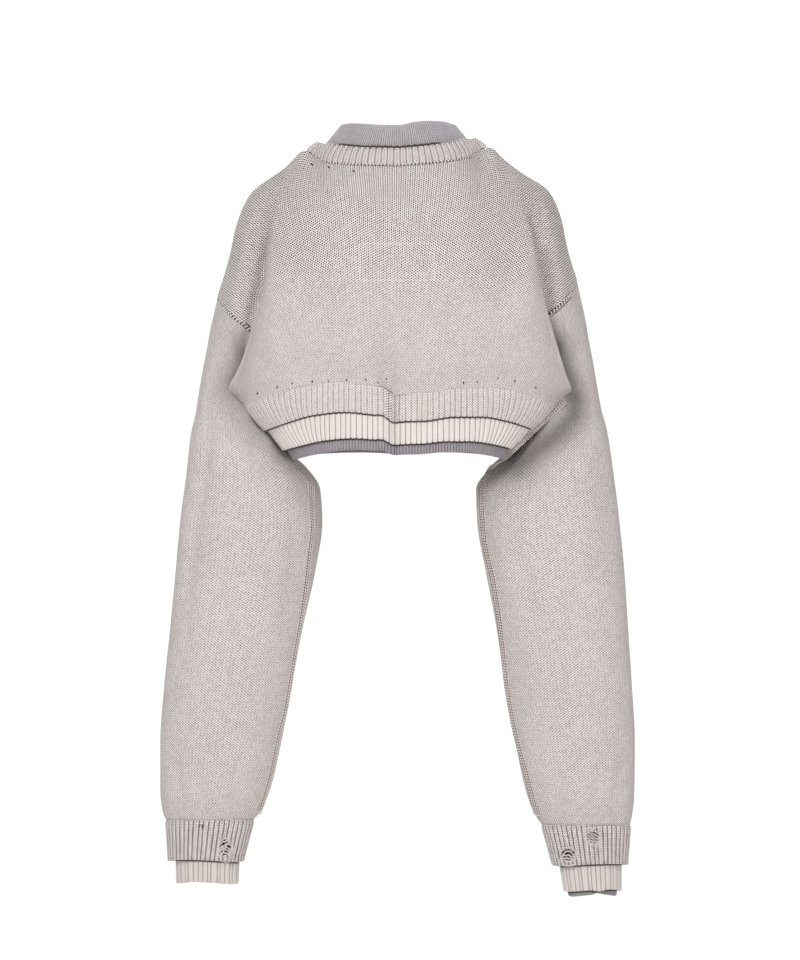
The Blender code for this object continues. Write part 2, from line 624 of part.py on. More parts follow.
def closed_evenly(loop, count):
    """Points at equal spacing round a closed line."""
    ring = np.concatenate([loop, loop[:1]])
    length = np.concatenate([[0], np.cumsum(np.linalg.norm(np.diff(ring, axis=0), axis=1))])
    at = np.linspace(0, length[-1], count, endpoint=False)
    return np.stack([np.interp(at, length, ring[:, k]) for k in range(3)], axis=1)


def neckband_lines(loop, count):
    """Points of the neckband's rows, from the neck seam to its top edge."""
    lower = closed_evenly(loop, count)
    centre = lower.mean(axis=0)
    flat = lower - centre
    flat[:, 2] = 0
    radius = np.linalg.norm(flat, axis=1, keepdims=True)
    outward = flat / radius
    backward = outward[:, 1:2]
    back_share = np.clip(backward, 0, 1) ** 2
    front_share = np.clip(-backward, 0, 1) ** 2
    side_share = 1 - back_share - front_share
    inward = (back_share * NECKBAND_BACK.inward + side_share * NECKBAND_SIDE.inward
              + front_share * NECKBAND_FRONT.inward)
    up = back_share * NECKBAND_BACK.up + side_share * NECKBAND_SIDE.up + front_share * NECKBAND_FRONT.up
    rows = []
    for share in (0.0, 1.0):
        row = lower - outward * inward * share ** 1.3
        row[:, 2:3] += up * share
        rows.append(row)
    return np.stack(rows)


def make_neckband(loop, finish):
    """The ribbed band linked on round the neck opening."""
    lines = trimmed(neckband_lines(loop, 2 * NECKBAND_RIBS), rows=(True, False), gap=NECK_SEAM_GAP)
    plain = trimmed(neckband_lines(loop, NECKBAND_RIBS), rows=(True, False), gap=NECK_SEAM_GAP)
    centre = lines.reshape(-1, 3).mean(axis=0)
    normals = facing_out(grid_normals(lines, True), lines, centre)
    plain_normals = facing_out(grid_normals(plain, True), plain, centre)
    make_wall("neckband", ribbed(lines, normals, NECKBAND_RISE), plain - plain_normals * RIB_WALL,
              finish, around=True)


def collar_lines(count):
    """Points of the inner layer's standing collar."""
    angles = 2 * np.pi * np.arange(count) / count
    rows = []
    for level in COLLAR_LEVELS:
        x, y = superellipse(level.half_width, level.half_depth, angles, COLLAR_ROUND)
        back = np.clip(np.cos(angles), 0, 1) ** 1.5
        front = np.clip(-np.cos(angles), 0, 1) ** 1.5
        z = level.z_side + (level.z_back - level.z_side) * back + (level.z_front - level.z_side) * front
        rows.append(np.stack([COLLAR_MID[0] + x, COLLAR_MID[1] + y, z], axis=-1))
    return np.stack(rows)


def make_collar(finish):
    """The fine-ribbed mock neck that stands inside the neckband."""
    lines = collar_lines(2 * COLLAR_RIBS)
    plain = collar_lines(COLLAR_RIBS // 2)
    centre = lines.reshape(-1, 3).mean(axis=0)
    normals = facing_out(grid_normals(lines, True), lines, centre)
    plain_normals = facing_out(grid_normals(plain, True), plain, centre)
    make_wall("collar", ribbed(lines, normals, COLLAR_RISE), plain - plain_normals * RIB_WALL,
              finish, around=True)


# ---------------------------------------------------------------- the garment

def shoulder_columns():
    """Columns of a panel whose top end lies on a shoulder seam."""
    corner = int(np.where(np.isclose(PANEL_SHARES, NECK_SHARE))[0][0])
    middle = len(PANEL_SHARES) - 1
    return np.r_[0:middle - corner + 1, middle + corner:2 * middle + 1]


def make_body(finish):
    """Back and front panels and both sleeves; returns the panels' points for the neck."""
    panels = {"back_panel": (panel_grid(BACK_WALES, 1), 1), "front_panel": (panel_grid(front_wales(), -1), -1)}
    back, front = panels["back_panel"][0], panels["front_panel"][0]
    front[0, shoulder_columns()] = back[0, shoulder_columns()]
    underarm = len(ARMHOLE_PLACES) - 1
    for column in (0, -1):
        front[underarm:, column] = back[underarm:, column]
    normals = {}
    for name, (grid, face) in panels.items():
        normals[name] = facing_out(grid_normals(grid), grid, np.array([0, 0, -150]))
    sleeves = {side: sleeve_grid(back, front, side) for side in (LEFT, RIGHT)}
    sleeve_normals = {}
    for side, grid in sleeves.items():
        axis = grid.mean(axis=1, keepdims=True)
        sleeve_normals[side] = facing_out(grid_normals(grid, True), grid, axis)
    join_seam_normals(normals, sleeve_normals)
    for name, (grid, face) in panels.items():
        outer = trimmed(grid, rows=(True, True), columns=(True, True))
        make_wall(name, outer, wall_inside(outer, normals[name]), finish)
    for side, grid in sleeves.items():
        outer = trimmed(grid, rows=(True, True))
        outer[0, :, 0] += side * ARMHOLE_APART * back_to_back()
        name = "sleeve_left" if side == LEFT else "sleeve_right"
        make_wall(name, outer, outer - sleeve_normals[side] * WALL, finish, around=True)
    return back, front


def back_to_back():
    """For each point of the armhole's closed line, 1 where the two pieces meet back to back, else 0."""
    apart = (ARMHOLE_PLACES > ARMHOLE_FLUSH).astype(float)
    return np.concatenate([apart, apart[1:-1][::-1]])


def join_seam_normals(normals, sleeve_normals):
    """Give both pieces at a shoulder, side and armhole seam the same edge normals."""
    back, front = normals["back_panel"], normals["front_panel"]
    last = len(ARMHOLE_PLACES)
    shoulders = shoulder_columns()
    shoulder = shared_edge(back[0, shoulders], front[0, shoulders])
    back[0, shoulders] = shoulder
    front[0, shoulders] = shoulder
    apart = back_to_back()[:, None]
    for side, column in ((LEFT, -1), (RIGHT, 0)):
        flank = shared_edge(back[last - 1:, column], front[last - 1:, column])
        back[last - 1:, column] = flank
        front[last - 1:, column] = flank
        own = np.concatenate([back[:last, column], front[1:last - 1, column][::-1]])
        seam = shared_edge(own, sleeve_normals[side][0])
        sleeve_normals[side][0] = np.where(apart > 0, sleeve_normals[side][0], seam)
        seam = np.where(apart > 0, own, seam)
        back[:last, column] = seam[:last]
        front[:last, column] = np.concatenate([seam[:1], seam[last - 1:][::-1]])


def make_hems(finishes):
    """Three layered rib hems, each in a back and a front half."""
    for name, band in HEMS.items():
        for suffix, face in (("back", 1), ("front", -1)):
            hem_band(f"{name}_{suffix}", band, face, finishes[name])


def make_cuffs(finishes):
    """Three layered cuffs at each wrist; the outer ones are in halves, worn through at the back."""
    for side, label in ((LEFT, "left"), (RIGHT, "right")):
        for name, cuff in CUFFS[side].items():
            if name != "cuff_outer":
                whole_cuff(f"{name}_{label}", cuff, side, finishes[name])
                continue
            back = half_cuff(f"{name}_{label}_back", cuff, side, finishes[name], 0.0)
            half_cuff(f"{name}_{label}_front", cuff, side, finishes[name], math.pi)
            cut_tears(back, side)


def main():
    """Build every piece of the sweater."""
    for thing in list(bpy.data.objects):
        bpy.data.objects.remove(thing, do_unlink=True)
    greige, cream, grey = (knit_material(kind) for kind in (GREIGE, CREAM, GREY))
    back, front = make_body(greige)
    loop = neckline(back, front)
    make_neckband(loop, greige)
    make_collar(grey)
    make_hems({"hem_outer": greige, "hem_middle": cream, "hem_inner": grey})
    make_cuffs({"cuff_outer": greige, "cuff_middle": cream, "cuff_inner": grey})


if __name__ == "__main__":
    main()
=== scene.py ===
"""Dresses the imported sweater: knitted cloth, ribs, linked seams and worn cuffs, with a camera and lights.

Tables are in millimetres in the row frame: the wearer's left arm is at +X, the back faces +Y and the origin
is the middle of the neck at shoulder height. Meshes are made in metres.
"""
import logging
import math
from dataclasses import dataclass, field
from enum import Enum
from typing import Any, Sequence

import bpy
import numpy as np
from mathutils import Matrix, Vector
from mathutils.bvhtree import BVHTree


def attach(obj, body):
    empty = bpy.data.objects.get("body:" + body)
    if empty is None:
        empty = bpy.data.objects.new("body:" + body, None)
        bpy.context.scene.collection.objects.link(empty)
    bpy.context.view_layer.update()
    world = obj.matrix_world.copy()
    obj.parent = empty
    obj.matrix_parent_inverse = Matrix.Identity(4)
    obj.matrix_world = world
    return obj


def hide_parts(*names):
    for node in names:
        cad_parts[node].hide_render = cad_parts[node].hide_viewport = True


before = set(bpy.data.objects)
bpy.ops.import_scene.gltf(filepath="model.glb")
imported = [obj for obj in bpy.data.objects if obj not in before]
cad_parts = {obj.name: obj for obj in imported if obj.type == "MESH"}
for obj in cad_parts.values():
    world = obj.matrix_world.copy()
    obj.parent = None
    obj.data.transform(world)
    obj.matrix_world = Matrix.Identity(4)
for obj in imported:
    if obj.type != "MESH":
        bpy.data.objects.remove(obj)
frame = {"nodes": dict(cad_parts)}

LOG = logging.getLogger("sweater")
MM = 0.001
WALL, RIB_WALL = 2.5, 2.2
WALE, COURSE = 3.85, 3.07    # width and height of one stitch
RIM_STITCH = 0.7             # how far the stitches run on over a sheet's rim
UNCOVERED = 99.0             # stands for how far cloth lies past an edge when nothing hangs over it
ANGLE_STEPS = 4000           # how finely a turn is cut to find even places round it
HEM_ROUNDNESS, CUFF_ROUNDNESS, COLLAR_ROUNDNESS = 2.3, 2.15, 1.9
Array = np.ndarray
Material, Object = bpy.types.Material, bpy.types.Object
Rgb = tuple[float, float, float]


class Side(Enum):
    """Which arm of the wearer."""

    LEFT = 1
    RIGHT = -1

    @property
    def label(self) -> str:
        """Lower-case name of the side."""
        return self.name.lower()


class Yarn(Enum):
    """The record's material slots."""

    GREIGE = "knit_greige"
    CREAM = "knit_cream"
    GREY = "knit_grey"


# ---- form

@dataclass(frozen=True)
class Wale:
    """A wale of half a panel at its share of the width: over the cap, into the drape fold and round it."""

    share: float
    top: tuple
    cap: tuple
    valley: tuple
    edge: tuple

    def lines(self) -> tuple:
        """The four points from the top down."""
        return self.top, self.cap, self.valley, self.edge


BACK_WALES = (
    Wale(0.000, (0, 60, -21.5), (0, 72, -40), (0, 82, -60), (0, 90, -82)),
    Wale(0.150, (50, 52, -19), (49, 67, -39), (48, 79, -60), (47, 88, -83)),
    Wale(0.240, (85, 31, -14), (83, 55, -35), (80, 74, -60), (75, 85, -85)),
    Wale(0.320, (108, -6, -6), (106, 34, -30), (101, 65, -61), (97, 80, -88)),
    Wale(0.460, (149, -9, -29), (147, 22, -43), (140, 53, -68), (136, 69, -94)),
    Wale(0.585, (180, -12, -53), (171, 21, -63), (156, 46, -88), (155, 65, -116)),
    Wale(0.720, (197, -15, -91), (184, 25, -104), (158, 42, -134), (163, 62, -162)),
    Wale(0.830, (205, -18, -127), (191, 27, -143), (163, 38, -178), (176, 58, -212)),
    Wale(0.930, (214, -20, -158), (198, 25, -177), (169, 35, -211), (191, 46, -260)),
    Wale(0.970, (218, -21, -170), (200, 23, -189), (172, 33, -220), (202, 20, -282)),
    Wale(1.000, (220, -22, -179), (201, 21, -200), (175, 31, -229), (205, -22, -294)),
)
NECK_SHARE = 0.32
FRONT_NECK_WALES = (
    Wale(0.000, (0, -84, -80), (0, -91, -98), (0, -97, -116), (0, -101, -136)),
    Wale(0.150, (50, -77, -67), (49, -86, -86), (48, -94, -104), (47, -99, -124)),
    Wale(0.240, (85, -54, -42), (83, -72, -66), (79, -85, -88), (74, -93, -110)),
)
SHOULDER_AT_NECK, SHOULDER_AT_ARM = -6, -22
FRONT_FLATTER = (0, 0.5, 0.6, 0.22)


@dataclass(frozen=True)
class SideFit:
    """What differs on one side: the neck corner's place, the armhole's lift and the fold's reach."""

    neck_out: float
    neck_up: float
    armhole_up: float
    armhole_in: float
    fold_out: float


SIDE_FIT = {Side.LEFT: SideFit(2, -2, 0, 0, 0), Side.RIGHT: SideFit(-8, 5, 17, 6, 4)}


@dataclass(frozen=True)
class Level:
    """One ring of a band: half sizes, height, share of the edge's wave and its centre."""

    half_width: float
    half_depth: float
    z: float
    wave: float = 1.0
    x_mid: float = 0.0
    y_mid: float = -6.0

    def towards(self, other: "Level", part: float) -> "Level":
        """The level part of the way to another one."""
        mine, theirs = (np.array([k.half_width, k.half_depth, k.z, k.wave, k.x_mid, k.y_mid])
                        for k in (self, other))
        return Level(*(mine + (theirs - mine) * part))


HEM_CENTRE_SHARE = 0.8
HEM_TOP = Level(188, 97, -292)
HEM_WAVE = ((-1.0, -16), (-0.8, -3), (-0.6, 4), (-0.4, 4), (-0.17, -2), (-0.03, -2.5), (0.07, 0), (0.2, 7),
            (0.4, 11), (0.64, 6), (0.8, -3), (1.0, -17))
FRONT_WAVE = ((-1.0, -16), (-0.75, 0), (-0.4, 6), (0.0, 1), (0.35, 5), (0.75, 1), (1.0, -17))
HEM_FOLD = (14, 13, 6.5)
# Rings down a sleeve: height outside and inside, reach outside and inside, middle and half depth, then the
# inner side's own middle and roundness.
SLEEVE_RINGS = {
    Side.LEFT: (
        (-236, -324, 233, 170, -19, 52, -40, 2.0), (-290, -352, 243.5, 142, -21, 57, -50, 1.8),
        (-340, -380, 251.5, 113, -23, 60, -58, 1.45), (-388, -408, 257, 96, -25, 60, -52, 1.75),
        (-440, -447, 264, 93.5, -26, 59, -42, 2.1), (-504, -506, 270, 102, -28, 58, -34, 2.2),
        (-576, -576, 277, 117.6, -30, 57, -30, 2.2), (-648, -648, 284.4, 130.8, -32, 56, -32, 2.2),
        (-712, -712, 288.8, 143, -34, 54, -34, 2.2), (-755, -755, 289.2, 153, -36, 51, -36, 2.2),
        (-783, -783, 288, 161, -37, 46, -37, 2.2), (-799, -799, 285, 170.5, -38, 39, -38, 2.2),
        (-805, -805, 281.5, 176.5, -38, 34.5, -38, 2.2)),
    Side.RIGHT: (
        (-226, -324, 228, 169, -19, 52, -40, 2.0), (-284, -352, 239, 141, -21, 57, -50, 1.8),
        (-336, -380, 249, 110, -23, 60, -58, 1.45), (-388, -408, 257, 91.5, -25, 60, -52, 1.75),
        (-440, -447, 263.5, 93, -26, 59, -42, 2.1), (-504, -506, 270, 103.2, -28, 58, -34, 2.2),
        (-576, -576, 274.8, 116.4, -30, 57, -30, 2.2), (-648, -648, 279.6, 127.2, -32, 56, -32, 2.2),
        (-712, -712, 283, 139, -34, 54, -34, 2.2), (-760, -760, 283, 149, -36, 51, -36, 2.2),
        (-788, -788, 281, 157, -37, 46, -37, 2.2), (-804, -804, 279, 165.5, -38, 39, -38, 2.2),
        (-811, -811, 277, 171, -38, 34.5, -38, 2.2)),
}
SLEEVE_PLACES = (0, 0.5, 1, 1.5, 2, 2.5, 3, 3.5, 4, 5, 6, 7, 8, 9, 10, 11.5, 13, 14)
# The body's side, which the sleeve clears: height, half width, middle, half depth and roundness.
FLANK = (
    (-395, 0, -6, 88, 2.3), (-378, 110, -6, 88, 2.3), (-373, 130, -6, 88, 2.3), (-361, 143, -6, 91, 2.3),
    (-338, 166, -6, 96, 2.3), (-318, 180, -8, 97, 2.3), (-309, 190, -12, 90, 2.4), (-296, 206, -14, 76, 2.8),
    (-283, 210, -14, 74, 3.2), (-266, 205, -14, 72, 5), (-250, 197, -14, 72, 6), (-215, 172, -14, 64, 8),
)
ARMHOLE_PLACES = np.linspace(0, 3, 13)


# ---- curves

def through(keys: Sequence, values: Any, at: Any) -> Array:
    """Smooth curve through values that never swings past them.

    Args:
        keys: Rising places of the values.
        values: One value or array of values for each key.
        at: Places to read.

    Returns:
        The curve's values at those places.
    """
    keys, values = np.asarray(keys, dtype=float), np.asarray(values, dtype=float)
    at = np.clip(np.asarray(at, dtype=float), keys[0], keys[-1])
    step = np.diff(keys)[:, None]
    flat = values.reshape(len(keys), -1)
    slope = np.diff(flat, axis=0) / step
    tangent = np.zeros_like(flat)
    tangent[0], tangent[-1] = slope[0], slope[-1]
    before, after = slope[:-1], slope[1:]
    same = before * after > 0
    before, after = np.where(same, before, 1), np.where(same, after, 1)
    weight_a, weight_b = 2 * step[1:] + step[:-1], step[1:] + 2 * step[:-1]
    mean = (weight_a + weight_b) / (weight_a / before + weight_b / after)
    tangent[1:-1] = np.where(same, mean, 0.0)
    index = np.clip(np.searchsorted(keys, at, side="right") - 1, 0, len(keys) - 2)
    span = step[index]
    t = (at - keys[index])[:, None] / span
    result = ((1 + 2 * t) * (1 - t) ** 2 * flat[index] + t * (1 - t) ** 2 * span * tangent[index]
              + t * t * (3 - 2 * t) * flat[index + 1] + t * t * (t - 1) * span * tangent[index + 1])
    return result.reshape((len(at),) + values.shape[1:])


def smooth(value: Any) -> Array:
    """Soft step of a value from 0 to 1."""
    value = np.clip(value, 0, 1)
    return value * value * (3 - 2 * value)


def unit(vectors: Array) -> Array:
    """Vectors brought to length 1."""
    return vectors / np.maximum(np.linalg.norm(vectors, axis=-1, keepdims=True), 1e-9)


def strides(grid: Array, axis: int) -> Array:
    """Distance from each point of a grid to the next one, down (0) or across (1)."""
    return np.linalg.norm(np.diff(grid, axis=axis), axis=2)


def travel(points: Array) -> Array:
    """Distance along a line at each of its points."""
    return np.concatenate([[0], np.cumsum(np.linalg.norm(np.diff(points, axis=0), axis=1))])


def between(points: Array, at: Array) -> Array:
    """Points at distances along a line."""
    length = travel(points)
    return np.stack([np.interp(at, length, points[:, k]) for k in range(3)], axis=1)


def finer_ring(grid: Array, times: int) -> Array:
    """A ring grid with each column step cut in several along a smooth closed curve.

    Args:
        grid: Rows of points that close on themselves.
        times: Steps for each old one.

    Returns:
        The grid with times as many columns.
    """
    before, after, later = (np.roll(grid, k, axis=1) for k in (1, -1, -2))
    parts = []
    for k in range(times):
        t = k / times
        parts.append(0.5 * (2 * grid + (after - before) * t
                            + (2 * before - 5 * grid + 4 * after - later) * t ** 2
                            + (3 * grid - before - 3 * after + later) * t ** 3))
    return np.stack(parts, axis=2).reshape(grid.shape[0], -1, 3)


def grid_normals(grid: Array, around: bool = False) -> Array:
    """Unit normals of a grid.

    Args:
        grid: Rows of points.
        around: True if the rows close on themselves.

    Returns:
        A normal for each point, the mean of the quads that meet there.
    """
    ring = closed(grid, around)
    quads = unit(np.cross(ring[1:, 1:] - ring[:-1, :-1], ring[1:, :-1] - ring[:-1, 1:]))
    first, last = (quads[:, -1:], quads[:, :0]) if around else (quads[:, :1], quads[:, -1:])
    quads = np.concatenate([first, quads, last], axis=1)
    quads = np.concatenate([quads[:1], quads, quads[-1:]])
    if around:
        quads = np.concatenate([quads, quads[:, 1:2]], axis=1)
    normal = quads[1:, 1:] + quads[1:, :-1] + quads[:-1, 1:] + quads[:-1, :-1]
    return unit(normal[:, :grid.shape[1]])


def grid_quads(rows: int, columns: int, around: bool) -> Array:
    """Corner numbers of each quad of a grid.

    Args:
        rows: Points down the grid.
        columns: Points across it.
        around: True if the rows close on themselves.

    Returns:
        Four corners for each quad, a row of quads after another.
    """
    across = columns if around else columns - 1
    row, column = np.meshgrid(np.arange(rows - 1), np.arange(across), indexing="ij")
    after = (column + 1) % columns
    corners = (row * columns + column, row * columns + after,
               (row + 1) * columns + after, (row + 1) * columns + column)
    return np.stack(corners, axis=-1).reshape(-1, 4)


def closed(grid: Array, around: bool) -> Array:
    """A grid with its first column repeated at the end where its rows close on themselves."""
    return np.concatenate([grid, grid[:, :1]], axis=1) if around else grid


def outward(grid: Array, around: bool, middle: Array) -> Array:
    """Normals of a grid turned away from a middle point or line."""
    normals = grid_normals(grid, around)
    return normals if np.sum(normals * (grid - middle)) > 0 else -normals


def superellipse(half_width: float, half_depth: float, angle: Array, roundness: float) -> tuple[Array, Array]:
    """A rounded ring's x and y: angle 0 is the back's centre and a quarter turn the side."""
    sine, cosine = np.sin(angle), np.cos(angle)
    return (half_width * np.sign(sine) * np.abs(sine) ** (2 / roundness),
            half_depth * np.sign(cosine) * np.abs(cosine) ** (2 / roundness))


def even_angles(level: Level, count: int, roundness: float) -> Array:
    """Angles that cut a whole ring into equal lengths.

    Args:
        level: The ring.
        count: How many angles.
        roundness: Its superellipse power.

    Returns:
        The angles.
    """
    fine = np.linspace(0, 2 * math.pi, 2 * ANGLE_STEPS + 1)
    x, y = superellipse(level.half_width, level.half_depth, fine, roundness)
    length = np.concatenate([[0], np.cumsum(np.hypot(np.diff(x), np.diff(y)))])
    return np.interp(np.linspace(0, length[-1], count, endpoint=False), length, fine)


def upright(point: Any, ring: Level, middle: Level, angles: Array) -> Array:
    """Angles on one ring of a band that keep its ribs upright, easing off towards the sides.

    Args:
        point: Places a level and angles in space.
        ring: The ring.
        middle: The ring half way down the band, on which the angles are even.
        angles: Angles on the middle ring.

    Returns:
        The angles on this ring.
    """
    want = point(middle, angles)[:, 0]
    turned = angles.copy()
    for start in (-math.pi / 2, math.pi / 2):
        dense = np.linspace(start, start + math.pi, 721)
        places = point(ring, dense)[:, 0]
        order = 1 if places[-1] > places[0] else -1
        half = (angles - start) % (2 * math.pi) < math.pi
        base = start + (angles - start) % (2 * math.pi)
        found = np.interp(want, places[::order], dense[::order])
        reach = np.abs(want - (places[0] + places[-1]) / 2) / (np.abs(places[-1] - places[0]) / 2)
        keep = smooth((1.0 - reach) / 0.45)
        turned = np.where(half, angles + (found - base) * keep, turned)
    return turned


def hem_point(level: Level, angle: Array) -> Array:
    """Points of the hem ring at one level, waved along its edge and dented by the upright fold.

    Args:
        level: The level.
        angle: Angles round it.

    Returns:
        A point for each angle.
    """
    x, y = superellipse(level.half_width, level.half_depth, angle, HEM_ROUNDNESS)
    share = x / level.half_width
    blend = np.clip(0.5 + y / 40, 0, 1)
    wave = blend * through(*zip(*HEM_WAVE), share) + (1 - blend) * through(*zip(*FRONT_WAVE), share)
    fold_x, fold_width, fold_depth = HEM_FOLD
    y = y - fold_depth * level.wave * np.exp(-((x - fold_x) / fold_width) ** 2) * (y > 0)
    return np.stack([x, y + level.y_mid, level.z + level.wave * wave], axis=-1)


# ---- shading

class Sock:
    """An output socket that takes part in sums."""

    def __init__(self, graph: "Graph", socket: Any) -> None:
        """Keep the socket and the graph it belongs to."""
        self.graph, self.socket = graph, socket

    def _do(self, operation: str, *others: Any) -> "Sock":
        """One Math node on this socket and others."""
        return self.graph.maths(operation, self, *others)

    def __add__(self, other: Any) -> "Sock":
        """Sum."""
        return self._do("ADD", other)

    def __sub__(self, other: Any) -> "Sock":
        """Difference."""
        return self._do("SUBTRACT", other)

    def __mul__(self, other: Any) -> "Sock":
        """Product."""
        return self._do("MULTIPLY", other)

    def __truediv__(self, other: Any) -> "Sock":
        """Quotient."""
        return self._do("DIVIDE", other)

    def __pow__(self, other: Any) -> "Sock":
        """Power."""
        return self._do("POWER", other)

    def __rsub__(self, other: Any) -> "Sock":
        """Difference from a number."""
        return self.graph.maths("SUBTRACT", other, self)

    def __rtruediv__(self, other: Any) -> "Sock":
        """Quotient of a number."""
        return self.graph.maths("DIVIDE", other, self)

    def __neg__(self) -> "Sock":
        """The value with its sign changed."""
        return self * -1.0

    def __abs__(self) -> "Sock":
        """The value without its sign."""
        return self._do("ABSOLUTE")

    __radd__ = __add__
    __rmul__ = __mul__

    def fract(self) -> "Sock":
        """What is left after the whole number."""
        return self._do("FRACT")

    def floor(self) -> "Sock":
        """The whole number below."""
        return self._do("FLOOR")

    def wave(self) -> "Sock":
        """1 at every whole number and -1 half way between."""
        return (self * (2 * math.pi))._do("COSINE")

    def least(self, other: Any) -> "Sock":
        """The smaller value."""
        return self._do("MINIMUM", other)

    def most(self, other: Any) -> "Sock":
        """The larger value."""
        return self._do("MAXIMUM", other)

    def ramp(self, low: float, high: float) -> "Sock":
        """Soft step from 0 at low to 1 at high."""
        return self.graph.node("ShaderNodeMapRange", {"interpolation_type": "SMOOTHSTEP"},
                               {"Value": self, "From Min": low, "From Max": high})


class Graph:
    """A material's node tree."""

    def __init__(self, name: str) -> None:
        """Make a material with one Principled shader.

        Args:
            name: Its name.
        """
        self.material = bpy.data.materials.new(name)
        self.material.use_nodes = True
        self.tree = self.material.node_tree
        self.shader = self.tree.nodes["Principled BSDF"]

    def node(self, kind: str, settings: dict | None = None, inputs: dict | None = None,
             output: int | str = 0) -> Sock:
        """Add a node.

        Args:
            kind: The node's type.
            settings: Its properties, set before its sockets.
            inputs: Values or Socks by socket name or number.
            output: Which output to hand back.

        Returns:
            That output.
        """
        made = self.tree.nodes.new(kind)
        for key, value in (settings or {}).items():
            setattr(made, key, value)
        for key, value in (inputs or {}).items():
            self.feed(made.inputs[key], value)
        return Sock(self, made.outputs[output])

    def feed(self, socket: Any, value: Any) -> None:
        """Link a Sock to a socket, or set its value.

        Args:
            socket: The input.
            value: A Sock or a constant.
        """
        if isinstance(value, Sock):
            self.tree.links.new(value.socket, socket)
        else:
            socket.default_value = value

    def maths(self, operation: str, *values: Any) -> Sock:
        """A Math node."""
        return self.node("ShaderNodeMath", {"operation": operation}, dict(enumerate(values)))

    def mix(self, factor: Any, first: Any, second: Any) -> Sock:
        """Colour between two others."""
        first, second = ((*c, 1.0) if isinstance(c, tuple) else c for c in (first, second))
        return self.node("ShaderNodeMix", {"data_type": "RGBA"}, {0: factor, 6: first, 7: second}, 2)

    def scaled(self, colour: Any, amount: Any) -> Sock:
        """Colour made lighter or darker by a factor."""
        return self.node("ShaderNodeVectorMath", {"operation": "SCALE"}, {0: colour, "Scale": amount})

    def noise(self, vector: Sock, scale: float, detail: float = 2.0) -> Sock:
        """Noise from about 0 to 1."""
        return self.node("ShaderNodeTexNoise", None, {"Vector": vector, "Scale": scale, "Detail": detail})

    def cells(self, vector: Sock) -> Sock:
        """A random value from 0 to 1 for each whole place."""
        return self.node("ShaderNodeTexWhiteNoise", {"noise_dimensions": "2D"}, {"Vector": vector}, "Value")

    def mark(self, name: str) -> Sock:
        """A value that the mesh carries at each point."""
        return self.node("ShaderNodeAttribute", {"attribute_name": name}, None, "Fac")

    def parts(self, vector: Sock) -> list[Sock]:
        """The three values of a vector."""
        split = self.tree.nodes.new("ShaderNodeSeparateXYZ")
        self.feed(split.inputs[0], vector)
        return [Sock(self, output) for output in split.outputs]

    def join(self, x: Any, y: Any, z: Any = 0.0) -> Sock:
        """A vector from three values."""
        return self.node("ShaderNodeCombineXYZ", None, {0: x, 1: y, 2: z})

    def finish(self, colour: Sock, bump: Sock, settings: dict[str, float]) -> Material:
        """Feed the shader.

        Args:
            colour: The base colour.
            bump: The normal.
            settings: Constant values of other sockets, by name.

        Returns:
            The finished material.
        """
        self.feed(self.shader.inputs["Base Color"], colour)
        self.feed(self.shader.inputs["Normal"], bump)
        for name, value in settings.items():
            self.shader.inputs[name].default_value = value
        return self.material


class KnitGraph(Graph):
    """A node tree that knows its place on the knit: the wale, the course and what the cloth marks there."""

    def __init__(self, name: str, wander: float) -> None:
        """Read the place and the marks.

        Args:
            name: The material's name.
            wander: How far the wales wander, as a share of a stitch.
        """
        super().__init__(name)
        self.place = self.node("ShaderNodeNewGeometry", None, None, "Position")
        self.crisp, self.under, self.dim = (self.mark(key) for key in ("crisp", "under", "dim"))
        self.drift = self.noise(self.place, 90.0) - 0.5
        wales, courses, _ = self.parts(self.node("ShaderNodeUVMap", {"uv_map": "stitches"}))
        self.wales = wales + self.drift * wander
        self.courses = courses + self.drift * 0.4
        self.leg = self.courses - abs(self.wales.fract() - 0.5)
        self.across, self.up = self.wales.wave(), self.courses.wave()


def srgb(red: float, green: float, blue: float) -> Rgb:
    """Linear colour of a screen colour from 0 to 255."""
    return tuple(((c / 255 + 0.055) / 1.055) ** 2.4 for c in (red, green, blue))


# Painted shadow: dark brown laid on the knit just below the edge of a layer that hangs over it.
PAINTED_EDGE_SHADOW = srgb(70, 50, 43)
GREIGE_LIGHT, GREIGE_GAP = srgb(252, 243, 240), srgb(78, 62, 56)


@dataclass(frozen=True)
class Eyelet:
    """A small gap between stitches: its place, half sizes and lean from upright in degrees."""

    x: float
    z: float
    half_width: float = 0.55
    half_height: float = 1.1
    lean: float = 0.0

    def mask(self, x: Sock, z: Sock) -> Sock:
        """Shape the gap.

        Args:
            x: Place across, in metres.
            z: Height, in metres.

        Returns:
            1 in the gap and 0 outside it.
        """
        cosine, sine = math.cos(math.radians(self.lean)), -math.sin(math.radians(self.lean))
        right, up = x - self.x * MM, z - self.z * MM
        across = (right * cosine + up * sine) / (self.half_width * MM)
        along = (up * cosine - right * sine) / (self.half_height * MM)
        return 1.0 - (across * across + along * along).ramp(0.5, 1.8)


